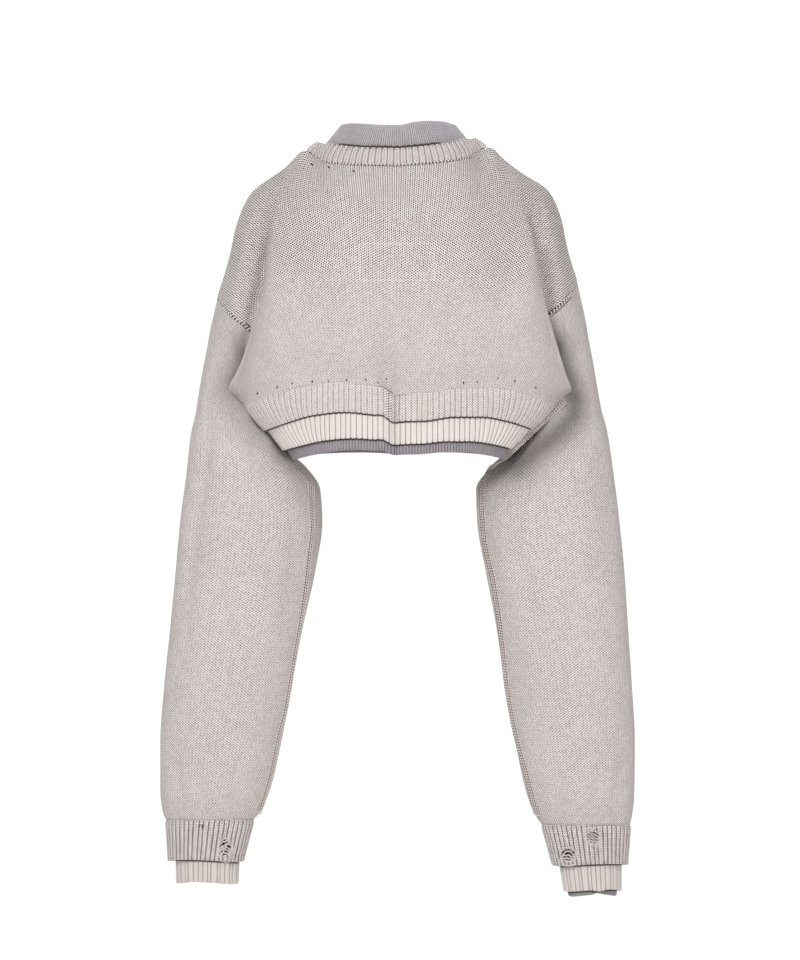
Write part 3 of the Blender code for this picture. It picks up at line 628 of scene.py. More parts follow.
@dataclass(frozen=True)
class KnitFinish:
    """A yarn knitted in stockinette or rib: its colours and how clearly its stitches show."""

    name: str
    light: Rgb = GREIGE_LIGHT
    gap: Rgb = GREIGE_GAP
    tone: float = 0.38  # how dark the knit is on average, from its light to its gap colour
    check: float = 0.48  # how clearly the slanted legs of the stitches show
    legs: float = 0.08  # how clearly the Vs show
    line: float = 0.07  # how dark the lines between wales are
    split: float = 0.0  # how far the stitches are pulled open where the knit is stretched
    slant: float = 0.0  # how far they lean into slanting lines there
    fleck: float = 0.2  # how much the yarn's tone changes from stitch to stitch
    mottle: float = 0.06  # and over larger patches
    rib: float = 0.0  # wales in a rib, or 0 where the knit is plain
    valley: float = 0.0  # how dark the valleys between ribs are painted, as shade in the recess
    narrow: float = 0.1  # how wide those lines are, as a share of a rib
    dots: float = 0.4  # how far those lines break up into dots
    bump: float = 0.6  # height of a stitch in millimetres
    beads: float = 0.0  # how clearly single courses show
    caps: float = 0.0  # how strong the slanting lines over the upper arms are
    frame: tuple[float, ...] = ()  # x, z and half sizes of a bare stitched frame
    eyelets: tuple[Eyelet, ...] = ()
    roughness: float = 0.9

    def pattern(self, knit: KnitGraph) -> Sock:
        """The stitches' light and dark.

        Args:
            knit: The node tree.

        Returns:
            How much darker than the knit's mean each place is, about 0 on average.
        """
        tone = knit.across * knit.up * self.check - knit.leg.wave() * self.legs + knit.across * self.line
        if self.split:
            pulled = (knit.crisp - 0.8).ramp(0.0, 0.5)
            slant = (abs(knit.wales) - knit.courses).wave() * abs(knit.wales).ramp(10.0, 24.0)
            tone = tone + ((knit.wales * 2.0).wave() * self.split + slant * self.slant) * pulled
        if self.beads:
            tone = tone + knit.up * self.beads
        x, _, z = knit.parts(knit.place)
        if self.caps:
            cap = (abs(x) + z * 0.25).ramp(0.121, 0.133) * z.ramp(-0.228, -0.216)
            lines = ((abs(x) * 0.64 - z * 0.77) / 0.0025 + knit.drift * 0.4).wave()
            tone = tone * (1.0 - cap * 0.45) + lines * cap * self.caps
        if self.frame:
            middle_x, middle_z, wide, tall = (value * MM for value in self.frame)
            rim = abs((abs(x - middle_x) - wide).most(abs(z - middle_z) - tall))
            tone = tone - (1.0 - rim.ramp(0.0004, 0.0012)) * 0.16
        return tone

    def material(self) -> Material:
        """Build the finish's material.

        Returns:
            The material.
        """
        knit = KnitGraph(self.name, 0.12 if self.rib else 0.3)
        pattern = self.pattern(knit)
        fleck = knit.cells(knit.join((knit.wales * 2.0).floor(), knit.leg.floor())) - 0.5
        fibre = knit.noise(knit.place, 1700.0, 3.0)
        patch = knit.noise(knit.place, 22.0, 3.0)
        clump = knit.noise(knit.place, 60.0)
        dark = (pattern * (clump * 0.4 + 0.8) + fleck * self.fleck) * knit.crisp + self.tone
        height = 0.6 - pattern
        if self.rib:
            middle = abs((knit.wales / self.rib).fract() - 0.5) * 2.0
            line = middle.ramp(1 - 2 * self.narrow, 1.0)
            # Painted shade in the valleys between ribs, stronger on alternate courses.
            dark = dark + line * knit.crisp * (knit.up * (self.valley * self.dots) + self.valley)
            height = height * 0.6 - line * 0.4
        x, _, z = knit.parts(knit.place)
        for eyelet in self.eyelets:
            dark = dark + eyelet.mask(x, z) * 1.5
        dark = dark.least(1.0).most(0.0)
        # Painted shade: the dim mark darkens the knit beside overhanging folds, in the hem's gathered fold
        # and over the upper panels; patch and fibre noise vary the yarn's tone.
        shade = ((patch - 0.5) * (2 * self.mottle) + (fibre - 0.5) * 0.3 + 1.0) * (1.0 - knit.dim)
        # Painted shadow: knit a few millimetres past an overhanging layer's edge is mixed towards the dark
        # brown.
        edge_shadow = (1.0 - knit.under.ramp(1.3, 2.8)) * (clump * 0.4 + knit.across * 0.12 + 0.75).least(1.0)
        colour = knit.mix(edge_shadow, knit.scaled(knit.mix(dark, self.light, self.gap), shade), PAINTED_EDGE_SHADOW)
        bump = knit.node("ShaderNodeBump", None,
                         {"Strength": 1.0, "Distance": self.bump * MM, "Height": height + fibre * 0.25})
        return knit.finish(colour, bump, {"Roughness": self.roughness, "Metallic": 0.0, "Sheen Weight": 0.12,
                                          "Specular IOR Level": 0.12, "Sheen Roughness": 0.6})


@dataclass(frozen=True)
class ThreadFinish:
    """A single yarn: a loose strand or the loops of a linked seam, also dark tubes of painted shadow in a
    seam's gaps.
    """

    name: str
    light: Rgb
    twist: float = 900.0

    def material(self) -> Material:
        """Build the finish's material.

        Returns:
            The material.
        """
        graph = Graph(self.name)
        place = graph.node("ShaderNodeNewGeometry", None, None, "Position")
        fibre = graph.noise(place, self.twist, 3.0)
        patch = graph.noise(place, 160.0, 2.0)
        colour = graph.scaled(self.light, (fibre - 0.5) * 0.3 + (patch - 0.5) * 0.25 + 1.0)
        bump = graph.node("ShaderNodeBump", None, {"Strength": 1.0, "Distance": 0.3 * MM, "Height": fibre})
        return graph.finish(colour, bump, {"Roughness": 0.9, "Specular IOR Level": 0.12, "Sheen Weight": 0.2})


CREAM_LIGHT, CREAM_GAP = srgb(236, 228, 224), srgb(140, 118, 108)
GREY_LIGHT, GREY_GAP = srgb(166, 160, 164), srgb(72, 68, 71)
BACK_EYELETS = tuple(Eyelet(*sizes) for sizes in (
    (105.6, -18, 0.9, 1.9, 50), (85.2, -22.2, 0.9, 2.0, 35), (55.2, -27.6, 0.9, 2.2, 55),
    (170.4, -292.8, 0.8, 1.3), (146.4, -285.6, 0.8, 1.4), (128.4, -280.8, 0.6, 1.1, 20),
    (104.4, -279, 0.8, 1.6), (85.2, -278.4, 0.6, 1.1), (63.6, -277.2, 0.7, 1.5, -20),
    (40.8, -276.6, 0.6, 1.2), (-75.6, -280.8, 0.8, 1.5), (-92.4, -279.6, 0.6, 1.2, 15),
    (-116.4, -274.8, 0.6, 1.2), (-136.8, -278.4, 0.8, 1.6, -15), (-162, -285.6, 0.7, 1.3),
    (16, -276, 0.5, 1.0, 30), (26, -280, 0.5, 1.1, 25)))
CUFF_EYELETS = tuple(Eyelet(*sizes) for sizes in (
    (237, -812.8, 1.0, 3.0, 4), (240.4, -811.4, 0.6, 1.8, -30), (233.4, -813.2, 0.7, 0.8),
    (197.4, -846.4, 0.8, 1.2), (194.8, -849, 0.7, 1.0)))
BARE_FRAME = (3.6, -137, 44.4, 21.9)    # a plain stitched rectangle: its middle and half sizes


class Wardrobe:
    """The finishes, each built once."""

    def __init__(self) -> None:
        """Build every material."""
        self.plain = KnitFinish("greige_stockinette").material()
        self.back = KnitFinish("greige_back_stockinette", split=0.32, slant=0.2, caps=0.4,
                               frame=BARE_FRAME, eyelets=BACK_EYELETS).material()
        self.hem = KnitFinish("greige_rib", tone=0.33, check=0.3, rib=2, valley=0.2, narrow=0.2, dots=0.7,
                              fleck=0.15).material()
        self.cuff = KnitFinish("greige_cuff_rib", tone=0.37, check=0.42, line=0.05, beads=0.14, rib=2,
                               valley=0.95, narrow=0.2, dots=0.5, fleck=0.25,
                               eyelets=CUFF_EYELETS).material()
        self.neck = KnitFinish("greige_neck_rib", tone=0.42, check=0.2, rib=2, valley=0.34, narrow=0.12,
                               fleck=0.12).material()
        self.cream = KnitFinish("cream_rib", CREAM_LIGHT, CREAM_GAP, tone=0.06, check=0.08, legs=0.02, rib=2,
                                valley=0.62, narrow=0.12, dots=0.15, mottle=0.03, fleck=0.08).material()
        self.cream_cuff = KnitFinish("cream_cuff_rib", srgb(226, 217, 213), srgb(120, 101, 93), tone=0.1,
                                     check=0.12, rib=2, valley=0.45, narrow=0.18, mottle=0.05,
                                     fleck=0.1).material()
        self.grey = KnitFinish("grey_fine_rib", GREY_LIGHT, GREY_GAP, tone=0.12, check=0.14, legs=0.03, rib=1,
                               valley=0.35, narrow=0.26, dots=0.3, mottle=0.1, bump=0.35).material()
        self.collar = KnitFinish("grey_collar_rib", srgb(196, 191, 195), GREY_GAP, tone=0.14, check=0.2,
                                 legs=0.03, rib=1, valley=0.5, narrow=0.28, dots=0.4, mottle=0.08,
                                 bump=0.35).material()
        self.seam = ThreadFinish("greige_linking", srgb(250, 242, 239)).material()
        self.thread = ThreadFinish("greige_strand", srgb(216, 206, 202)).material()
        # Painted shadow: dark tubes and loops laid in the gaps between seam stitches.
        self.shadow = ThreadFinish("gap_shadow", srgb(62, 50, 46)).material()
        # Painted shade: mid-brown tubes in the gaps of the sleeve seams.
        self.crevice_shade = ThreadFinish("soft_gap_shade", srgb(112, 94, 87)).material()


# ---- cloth

def beside(line: tuple, points: Array) -> tuple[Array, Array]:
    """Where points lie beside a line.

    Args:
        line: Places of x and z.
        points: Grid of points.

    Returns:
        Each point's signed distance from the line, and how far along it that is, from 0 to 1.
    """
    flat = points[..., (0, 2)]
    path = np.asarray(line, dtype=float)
    lengths = np.linalg.norm(np.diff(path, axis=0), axis=1)
    best = np.full(flat.shape[:2], 1e9)
    signed, along = np.zeros_like(best), np.zeros_like(best)
    walked = 0.0
    for start, stop, length in zip(path[:-1], path[1:], lengths):
        way = (stop - start) / length
        ahead = np.clip((flat - start) @ way, 0, length)
        gap = flat - start - ahead[..., None] * way
        distance = np.linalg.norm(gap, axis=-1)
        nearer = distance < best
        side = np.sign(way[0] * gap[..., 1] - way[1] * gap[..., 0])
        best = np.where(nearer, distance, best)
        signed = np.where(nearer, side * distance, signed)
        along = np.where(nearer, (walked + ahead) / lengths.sum(), along)
        walked += length
    return signed, along


@dataclass(frozen=True)
class Shelter:
    """A place on the back where less light reaches the knit, beside a fold that hangs over it."""

    line: tuple
    width: float
    depth: float

    def dim(self, points: Array, normals: Array) -> Array:
        """How much darker each point is, from 0 to 1."""
        signed, along = beside(self.line, points)
        ends = smooth(along / 0.15) * smooth((1 - along) / 0.25)
        return self.depth * np.exp(-(signed / self.width) ** 2) * ends * smooth(normals[..., 1] * 2.5 + 0.6)


@dataclass(frozen=True)
class Crease:
    """A soft trough (or ridge, below 0) along a line of x and z, on the back (1) or the front (-1)."""

    line: tuple
    width: float
    depth: float
    face: int = 1
    lip: float = 0.35
    fade: tuple[float, float] = (0.25, 0.35)
    below: float = 1000.0       # a fold that hangs further out than this is left alone

    def push(self, points: Array, normals: Array) -> Array:
        """How far each point moves along its normal.

        Args:
            points: Grid of points.
            normals: Their normals.

        Returns:
            A distance for each point, in millimetres.
        """
        signed, along = beside(self.line, points)
        shape = (-np.exp(-(signed / self.width) ** 2)
                 + self.lip * np.exp(-((signed - 1.7 * self.width) / self.width) ** 2))
        start, stop = self.fade
        strength = (smooth(along / start) if start else 1) * smooth((1 - along) / max(stop, 1e-3))
        facing = smooth(normals[..., 1] * self.face * 2.5)
        return self.depth * shape * strength * facing * smooth((self.below - points[..., 1]) / 6)


@dataclass(frozen=True)
class Nudge:
    """A soft local shift of the cloth: its middle, its reach on each axis and how far it goes."""

    middle: tuple
    reach: tuple
    shift: tuple

    def move(self, points: Array) -> Array:
        """The points after the shift."""
        away = (points - np.array(self.middle, dtype=float)) / np.array(self.reach, dtype=float)
        return points + np.exp(-np.sum(away ** 2, axis=-1))[..., None] * np.array(self.shift, dtype=float)


def evened(values: Array, reach: int, around: bool = False) -> Array:
    """Values averaged softly over their neighbours along each row.

    Args:
        values: Grid of values. On a ring the last column repeats the first.
        reach: How many neighbours count on each side.
        around: True on a ring.

    Returns:
        The grid, smoothed.
    """
    kernel = np.hanning(2 * reach + 3)[1:-1]
    if around:
        wide = np.concatenate([values[:, -reach - 1:-1], values, values[:, 1:reach + 1]], axis=1)
    else:
        wide = np.pad(values, ((0, 0), (reach, reach)), mode="reflect", reflect_type="odd")
    return np.stack([np.convolve(row, kernel / kernel.sum(), "valid") for row in wide])


@dataclass
class Cloth:
    """A knitted sheet: the points of its outer face, its stitches and how clearly they show."""

    name: str
    points: Array
    around: bool
    middle: Array
    wall: float = WALL
    wales: Array | None = None      # stitch columns along a row, with one more on a ring
    hold: str = "draped"
    replaces: tuple[str, ...] = ()
    yarn: Yarn = Yarn.GREIGE
    normals: Array = field(default=None, repr=False)

    def __post_init__(self) -> None:
        """Work out the normals."""
        self.normals = outward(self.points, self.around, self.middle)
        shape = self.points.shape[:2]
        self.crisp, self.under = np.ones(shape), np.full(shape, UNCOVERED)
        self.inside, self.dim = np.zeros(shape), np.zeros(shape)
        self.base = self.points.copy()

    def crease(self, creases: Sequence[Crease]) -> None:
        """Press creases into the sheet.

        Args:
            creases: The creases.
        """
        push = sum(crease.push(self.base, self.normals) for crease in creases)
        self.points = self.points + self.normals * push[..., None]
        self.base = self.points.copy()
        self.normals = outward(self.points, self.around, self.middle)

    def raise_ribs(self, height: Array) -> None:
        """Raise the outer face by a height at each point."""
        self.points = self.points + self.normals * height[..., None]

    def from_top(self) -> Array:
        """How far each point lies from the first row, along the sheet."""
        down = strides(self.base, 0)
        return np.concatenate([np.zeros((1, down.shape[1])), np.cumsum(down, axis=0)])

    def from_edge(self) -> Array:
        """How far each point lies from the last row, along the sheet."""
        down = strides(self.base, 0)
        return np.concatenate([np.cumsum(down[::-1], axis=0)[::-1], np.zeros((1, down.shape[1]))])

    def round_edge(self, radius: float) -> None:
        """Soften the sheet's last row by drawing both faces in.

        Args:
            radius: How far up from the edge.
        """
        part = np.clip(1 - self.from_edge() / radius, 0, 1)
        inset = (1 - np.sqrt(np.maximum(1 - part ** 2, 0))) * 0.42 * self.wall
        self.points = self.points - self.normals * inset[..., None]
        self.inside = self.inside + inset

    def shade(self, shelters: Sequence[Shelter]) -> None:
        """Darken the knit where folds hang over it."""
        light = [1 - shelter.dim(self.points, self.normals) for shelter in shelters]
        self.dim = 1 - np.prod(light, axis=0)

    def covered_by(self, edge: Array, upwards: bool = False) -> None:
        """Mark how far each point lies past the edge of the layer over it, where the finish paints a shadow
        line.

        Args:
            edge: The covering layer's edge, a closed line of points.
            upwards: True if this layer comes out above the edge.
        """
        for back in (True, False):
            half = edge[(edge[:, 1] > edge[:, 1].mean()) == back]
            half = half[np.argsort(half[:, 0])]
            past = np.interp(self.points[..., 0], half[:, 0], half[:, 2]) - self.points[..., 2]
            past = -past if upwards else past
            here = (self.points[..., 1] > edge[:, 1].mean()) == back
            self.under = np.where(here, past, self.under)

    def cut(self) -> tuple[tuple[float, float], float]:
        """Measure the flat cut.

        Returns:
            Width and length in metres, and the cloth's own area.
        """
        grid = closed(self.base, self.around)
        width = strides(grid, 1).sum(axis=1).max()
        length = strides(grid, 0).sum(axis=0).max()
        first = np.cross(grid[1:, 1:] - grid[:-1, :-1], grid[1:, :-1] - grid[:-1, 1:])
        area = np.linalg.norm(first, axis=2).sum() / 2
        return (round(width * MM, 3), round(length * MM, 3)), area * MM * MM

    def stitches(self) -> Array:
        """Work out the stitch coordinates.

        Returns:
            Wales across and courses up from the last row, at each point.
        """
        wales = self.wales
        if wales is None:
            across = strides(closed(self.base, self.around), 1).mean(axis=0)
            wales = np.concatenate([[0], np.cumsum(across)]) / WALE
            if self.around:
                wales *= round(wales[-1]) / wales[-1]
        courses = evened(closed(self.from_edge(), self.around) / COURSE, 12, self.around)
        return np.stack([np.broadcast_to(wales, courses.shape), courses], axis=-1)

    def inner(self) -> Array:
        """Lay out the inner face.

        Returns:
            Its points, which keep out of sharp folds.
        """
        inner = self.base - self.normals * (self.wall - self.inside)[..., None]
        for _ in range(10):
            mean = (inner[:-2, 1:-1] + inner[2:, 1:-1] + inner[1:-1, :-2] + inner[1:-1, 2:]) / 4
            step = 0.5 * (mean - inner[1:-1, 1:-1])
            away = np.sum(step * self.normals[1:-1, 1:-1], axis=2, keepdims=True) < 0
            inner[1:-1, 1:-1] += np.where(away, step, 0)
        return inner

    def walls(self) -> tuple[Array, Array]:
        """Join both faces and the rims between them.

        Returns:
            Quads, and the stitch coordinates of their corners.
        """
        rows, columns = self.points.shape[:2]
        count = rows * columns
        quads = grid_quads(rows, columns, self.around)
        across = np.arange(columns if self.around else columns - 1)
        down = np.arange(rows - 1)
        stitches = self.stitches()
        spots = np.stack([stitches[:-1][:, across], stitches[:-1][:, across + 1],
                          stitches[1:][:, across + 1], stitches[1:][:, across]], axis=2).reshape(-1, 4, 2)
        faces, maps = [quads, quads[:, ::-1] + count], [spots, spots[:, ::-1]]
        rims = [(line * columns + across, line * columns + (across + 1) % columns,
                 stitches[line, across], stitches[line, across + 1], (0, RIM_STITCH), flip)
                for line, flip in ((0, 1), (rows - 1, -1))]
        if not self.around:
            rims += [(down * columns + line, (down + 1) * columns + line,
                      stitches[down, line], stitches[down + 1, line], (RIM_STITCH, 0), flip)
                     for line, flip in ((0, -1), (columns - 1, 1))]
        for first, second, a, b, drop, flip in rims:
            faces.append(np.stack([second, first, first + count, second + count], axis=-1)[:, ::flip])
            maps.append(np.stack([b, a, a + drop, b + drop], axis=1)[:, ::flip])
        return np.concatenate(faces), np.concatenate(maps)

    def build(self, material: Material) -> Object:
        """Args:
            material: Its finish.

        Returns:
            The piece.
        """
        faces, maps = self.walls()
        verts = np.concatenate([self.points.reshape(-1, 3), self.inner().reshape(-1, 3)]) * MM
        corner = verts[faces]
        volume = np.einsum("ij,ij->i", corner[:, 0], np.cross(corner[:, 1], corner[:, 2])).sum()
        if volume < 0:
            faces, maps = faces[:, ::-1], maps[:, ::-1]
        # The dim mark carries painted shade and the under mark places the painted shadow line; the inner face
        # gets no shadow line.
        bare = np.full_like(self.under, UNCOVERED)
        marks = {name: np.concatenate([outer.reshape(-1), inside.reshape(-1)])
                 for name, outer, inside in (("crisp", self.crisp, self.crisp), ("dim", self.dim, self.dim),
                                             ("under", self.under, bare))}
        thing = solid(self.name, verts, faces, material, maps.reshape(-1, 2), marks)
        flat, area = self.cut()
        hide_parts(*self.replaces)
        return thing


def stand(name: str, data: Any) -> Object:
    """A new object in the scene, from a mesh, light or camera."""
    thing = bpy.data.objects.new(name, data)
    bpy.context.collection.objects.link(thing)
    return thing


def solid(name: str, verts: Array, faces: Array, material: Material, maps: Array | None = None,
          marks: dict[str, Array] | None = None) -> Object:
    """A smooth mesh that rides on the body.

    Args:
        name: The piece's name.
        verts: Points in metres.
        faces: Corner numbers of each face.
        material: Its finish.
        maps: Stitch coordinates for each face corner.
        marks: Named values at each point, such as how clearly the stitches show.

    Returns:
        The object.
    """
    mesh = bpy.data.meshes.new(name)
    mesh.from_pydata(verts.tolist(), [], faces.tolist())
    mesh.polygons.foreach_set("use_smooth", np.ones(len(mesh.polygons), dtype=bool))
    if maps is not None:
        mesh.uv_layers.new(name="stitches").data.foreach_set("uv", np.ascontiguousarray(maps).ravel())
    for key, values in (marks or {}).items():
        mesh.attributes.new(key, "FLOAT", "POINT").data.foreach_set("value", values)
    mesh.materials.append(material)
    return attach(stand(name, mesh), "root")


class Surface:
    """Finds places on sheets as they are seen from the back or the front."""

    def __init__(self, *sheets: Cloth) -> None:
        """Gather the sheets' outer faces."""
        points, faces, offset = [], [], 0
        for sheet in sheets:
            rows, columns = sheet.base.shape[:2]
            faces.append(offset + grid_quads(rows, columns, sheet.around))
            points.append(sheet.points.reshape(-1, 3))
            offset += rows * columns
        self.tree = BVHTree.FromPolygons(np.concatenate(points).tolist(), np.concatenate(faces).tolist())

    def at(self, x: float, z: float, face: int = 1) -> tuple[Array, Array] | None:
        """Look up a place.

        Args:
            x: Place across.
            z: Height.
            face: From the back (1) or the front (-1).

        Returns:
            The outermost point and its normal, or None past the sheets.
        """
        hit, normal, _, _ = self.tree.ray_cast(Vector((x, 900 * face, z)), Vector((0, -face, 0)))
        if hit is None:
            return None
        normal = np.array(normal) * (1 if normal.y * face > 0 else -1)
        return np.array(hit), normal

    def line(self, places: Sequence, step: float, face: int = 1) -> tuple[Array, Array]:
        """Follow a line over the surface.

        Args:
            places: Places of x and z.
            step: How far apart the points lie.
            face: Seen from the back (1) or the front (-1).

        Returns:
            Evenly spaced points and their normals.
        """
        path = np.asarray(places, dtype=float)
        length = travel(path)
        at = np.linspace(0, length[-1], max(2, int(length[-1] / step)))
        spots = through(length, path, at)
        found = [hit for hit in (self.at(x, z, face) for x, z in spots) if hit is not None]
        return np.array([hit[0] for hit in found]), np.array([hit[1] for hit in found])


# ---- threads

TAPER = 0.3     # a thread's end, as a share of its radius


def tubes(lines: Sequence[Array], radii: Sequence[Array | float], sides: int = 8) -> tuple[Array, Array]:
    """Round closed-ended tubes along lines.

    Args:
        lines: Points of each tube's middle.
        radii: Each tube's radius, or one for each of its points.
        sides: Corners round a tube.

    Returns:
        Points and quads.
    """
    verts, faces, offset = [], [], 0
    turn = 2 * np.pi * np.arange(sides) / sides
    for line, radius in zip(lines, radii):
        radius = np.broadcast_to(np.asarray(radius, dtype=float), (len(line),)).copy()
        radius[[0, -1]] *= TAPER
        way = unit(np.gradient(line, axis=0))
        across = unit(np.cross(way, np.array([0.31, 0.92, 0.24])))
        up = np.cross(way, across)
        ring = (across[:, None] * np.cos(turn)[None, :, None] + up[:, None] * np.sin(turn)[None, :, None])
        verts.append((line[:, None] + ring * radius[:, None, None]).reshape(-1, 3))
        faces.append(offset + grid_quads(len(line), sides, True))
        for start in (offset, offset + (len(line) - 1) * sides):
            quads = [(start, start + k, start + k + 1, start + k + 2) for k in range(1, sides - 2, 2)]
            faces.append(np.array(quads if start > offset else [quad[::-1] for quad in quads]))
        offset += len(line) * sides
    return np.concatenate(verts), np.concatenate(faces)


@dataclass(frozen=True)
class Linking:
    """A linked seam: a row of small loops along a line; dark tubes of painted shadow fill the gaps between
    them.
    """

    pitch: float = 4.3
    length: float = 3.0
    radius: float = 0.95
    lift: float = 0.3
    shift: float = 0.0
    phase: float = 0.25

    def along(self, points: Array, normals: Array, step: float) -> tuple[Array, Array, Array]:
        """Set out a line of stitches.

        Args:
            points: The seam's line.
            normals: The surface's normals there.
            step: How far apart the stitches are.

        Returns:
            Each stitch's middle, the way the line runs there, and the normal.
        """
        length = travel(points)
        count = max(2, int(length[-1] / step))
        at = (np.arange(count) + self.phase) * length[-1] / count
        middle = between(points, at)
        normal = unit(np.stack([np.interp(at, length, normals[:, k]) for k in range(3)], axis=1))
        way = unit(np.gradient(middle, axis=0))
        return middle + unit(np.cross(normal, way)) * self.shift, way, normal

    def loops(self, points: Array, normals: Array) -> tuple[Array, Array]:
        """The loops along a line on a surface.

        Args:
            points: The line.
            normals: The surface's normals there.

        Returns:
            Points and quads.
        """
        middle, way, normal = self.along(points, normals, self.pitch)
        middle = middle + normal * self.lift
        step = way * self.length / 2
        bow = normal * self.radius * 0.5
        lines = np.stack([middle - step, middle - step * 0.4 + bow, middle + step * 0.4 + bow, middle + step],
                         axis=1)
        return tubes(list(lines), [self.radius] * len(lines), 6)

    def core(self, points: Array, normals: Array, radius: float, drop: float) -> tuple[Array, Array]:
        """A dark tube of painted shadow that runs under the loops, with its own radius, sunk by a drop."""
        middle, _, normal = self.along(points, normals, 2.5)
        return tubes([middle - normal * drop], [radius], 6)


# ---- body

PANEL_CREASES = (
    Crease(((142, -88), (157, -113), (165, -161), (178, -209), (186, -222)), 7, 3.6, lip=0.3,
           fade=(0.35, 0.1), below=50),
    Crease(((-170, -102), (-173, -150), (-177, -198), (-184, -215)), 7, 3.4, lip=0.0,
           fade=(0.35, 0.1), below=50),
    Crease(((13, -296), (15, -258), (15, -225), (12, -185), (11, -150)), 7, 2.0, fade=(0, 0.5)),
    Crease(((18, -294), (14, -264), (-6, -238), (-24, -216), (-38, -192)), 9, 3.6, fade=(0, 0.5)),
    Crease(((150, -118), (128, -150), (112, -188), (100, -232)), 11, 1.6),
    Crease(((168, -190), (146, -214), (128, -246), (118, -280)), 10, 2.2),
    Crease(((178, -250), (150, -264), (118, -270), (84, -268)), 8, 1.4),
    Crease(((-150, -116), (-132, -150), (-118, -190), (-110, -226)), 11, 1.6),
    Crease(((-172, -196), (-150, -222), (-136, -250), (-128, -284)), 10, 2.0),
    Crease(((-176, -262), (-146, -272), (-110, -274), (-70, -262)), 8, 1.3),
    Crease(((70, -60), (58, -96), (52, -132)), 12, 0.9),
    Crease(((-62, -58), (-56, -92), (-46, -130)), 12, 0.9),
    Crease(((-8, -296), (-14, -262), (-12, -220)), 8, 2.2, -1, fade=(0, 0.5)),
    Crease(((64, -290), (58, -250), (66, -205)), 9, 2.0, -1, fade=(0, 0.5)),
    Crease(((150, -130), (126, -165), (108, -215), (100, -262)), 11, 2.2, -1),
    Crease(((-148, -122), (-128, -160), (-112, -208), (-106, -255)), 11, 2.2, -1),
    Crease(((60, -130), (20, -142), (-24, -140), (-62, -126)), 9, 1.1, -1),
    Crease(((172, -236), (140, -256), (98, -262)), 9, 1.8, -1),
    Crease(((-170, -232), (-136, -254), (-92, -264)), 9, 1.8, -1),
)
WALES_PER_MM = ((-300, 0.29), (-220, 0.264), (-125, 0.224), (-60, 0.194), (0, 0.165), (30, 0.155))
# Painted shade on the back beside the drape folds: the line, its width and how much darker.
CAP_SHELTERS = (
    Shelter(((150, -96), (164, -120), (173, -160), (185, -206), (194, -236)), 6, 0.16),
    Shelter(((-172, -110), (-180, -150), (-185, -198), (-194, -236)), 6, 0.18),
)
BODY_NUDGES = (
    Nudge((115, -6, -6), (14, 24, 26), (1, 0, 8)), Nudge((-106, -6, -2), (14, 24, 26), (-3, 0, 5)),
    Nudge((203, 14, -286), (16, 26, 13), (2, 15, 0)), Nudge((-203, 14, -286), (16, 26, 13), (-2, 15, 0)),
)
HEM_NUDGES = (Nudge((20, 92, -310), (8, 60, 70), (0, 0, 3)), Nudge((8, 92, -310), (8, 60, 70), (0, -1.5, -3)))
NECK_COLUMNS = 21       # columns from the centre to the neck's corner
FOLD_ROW = 72           # the row in which the drape fold ends and both panels meet at the side


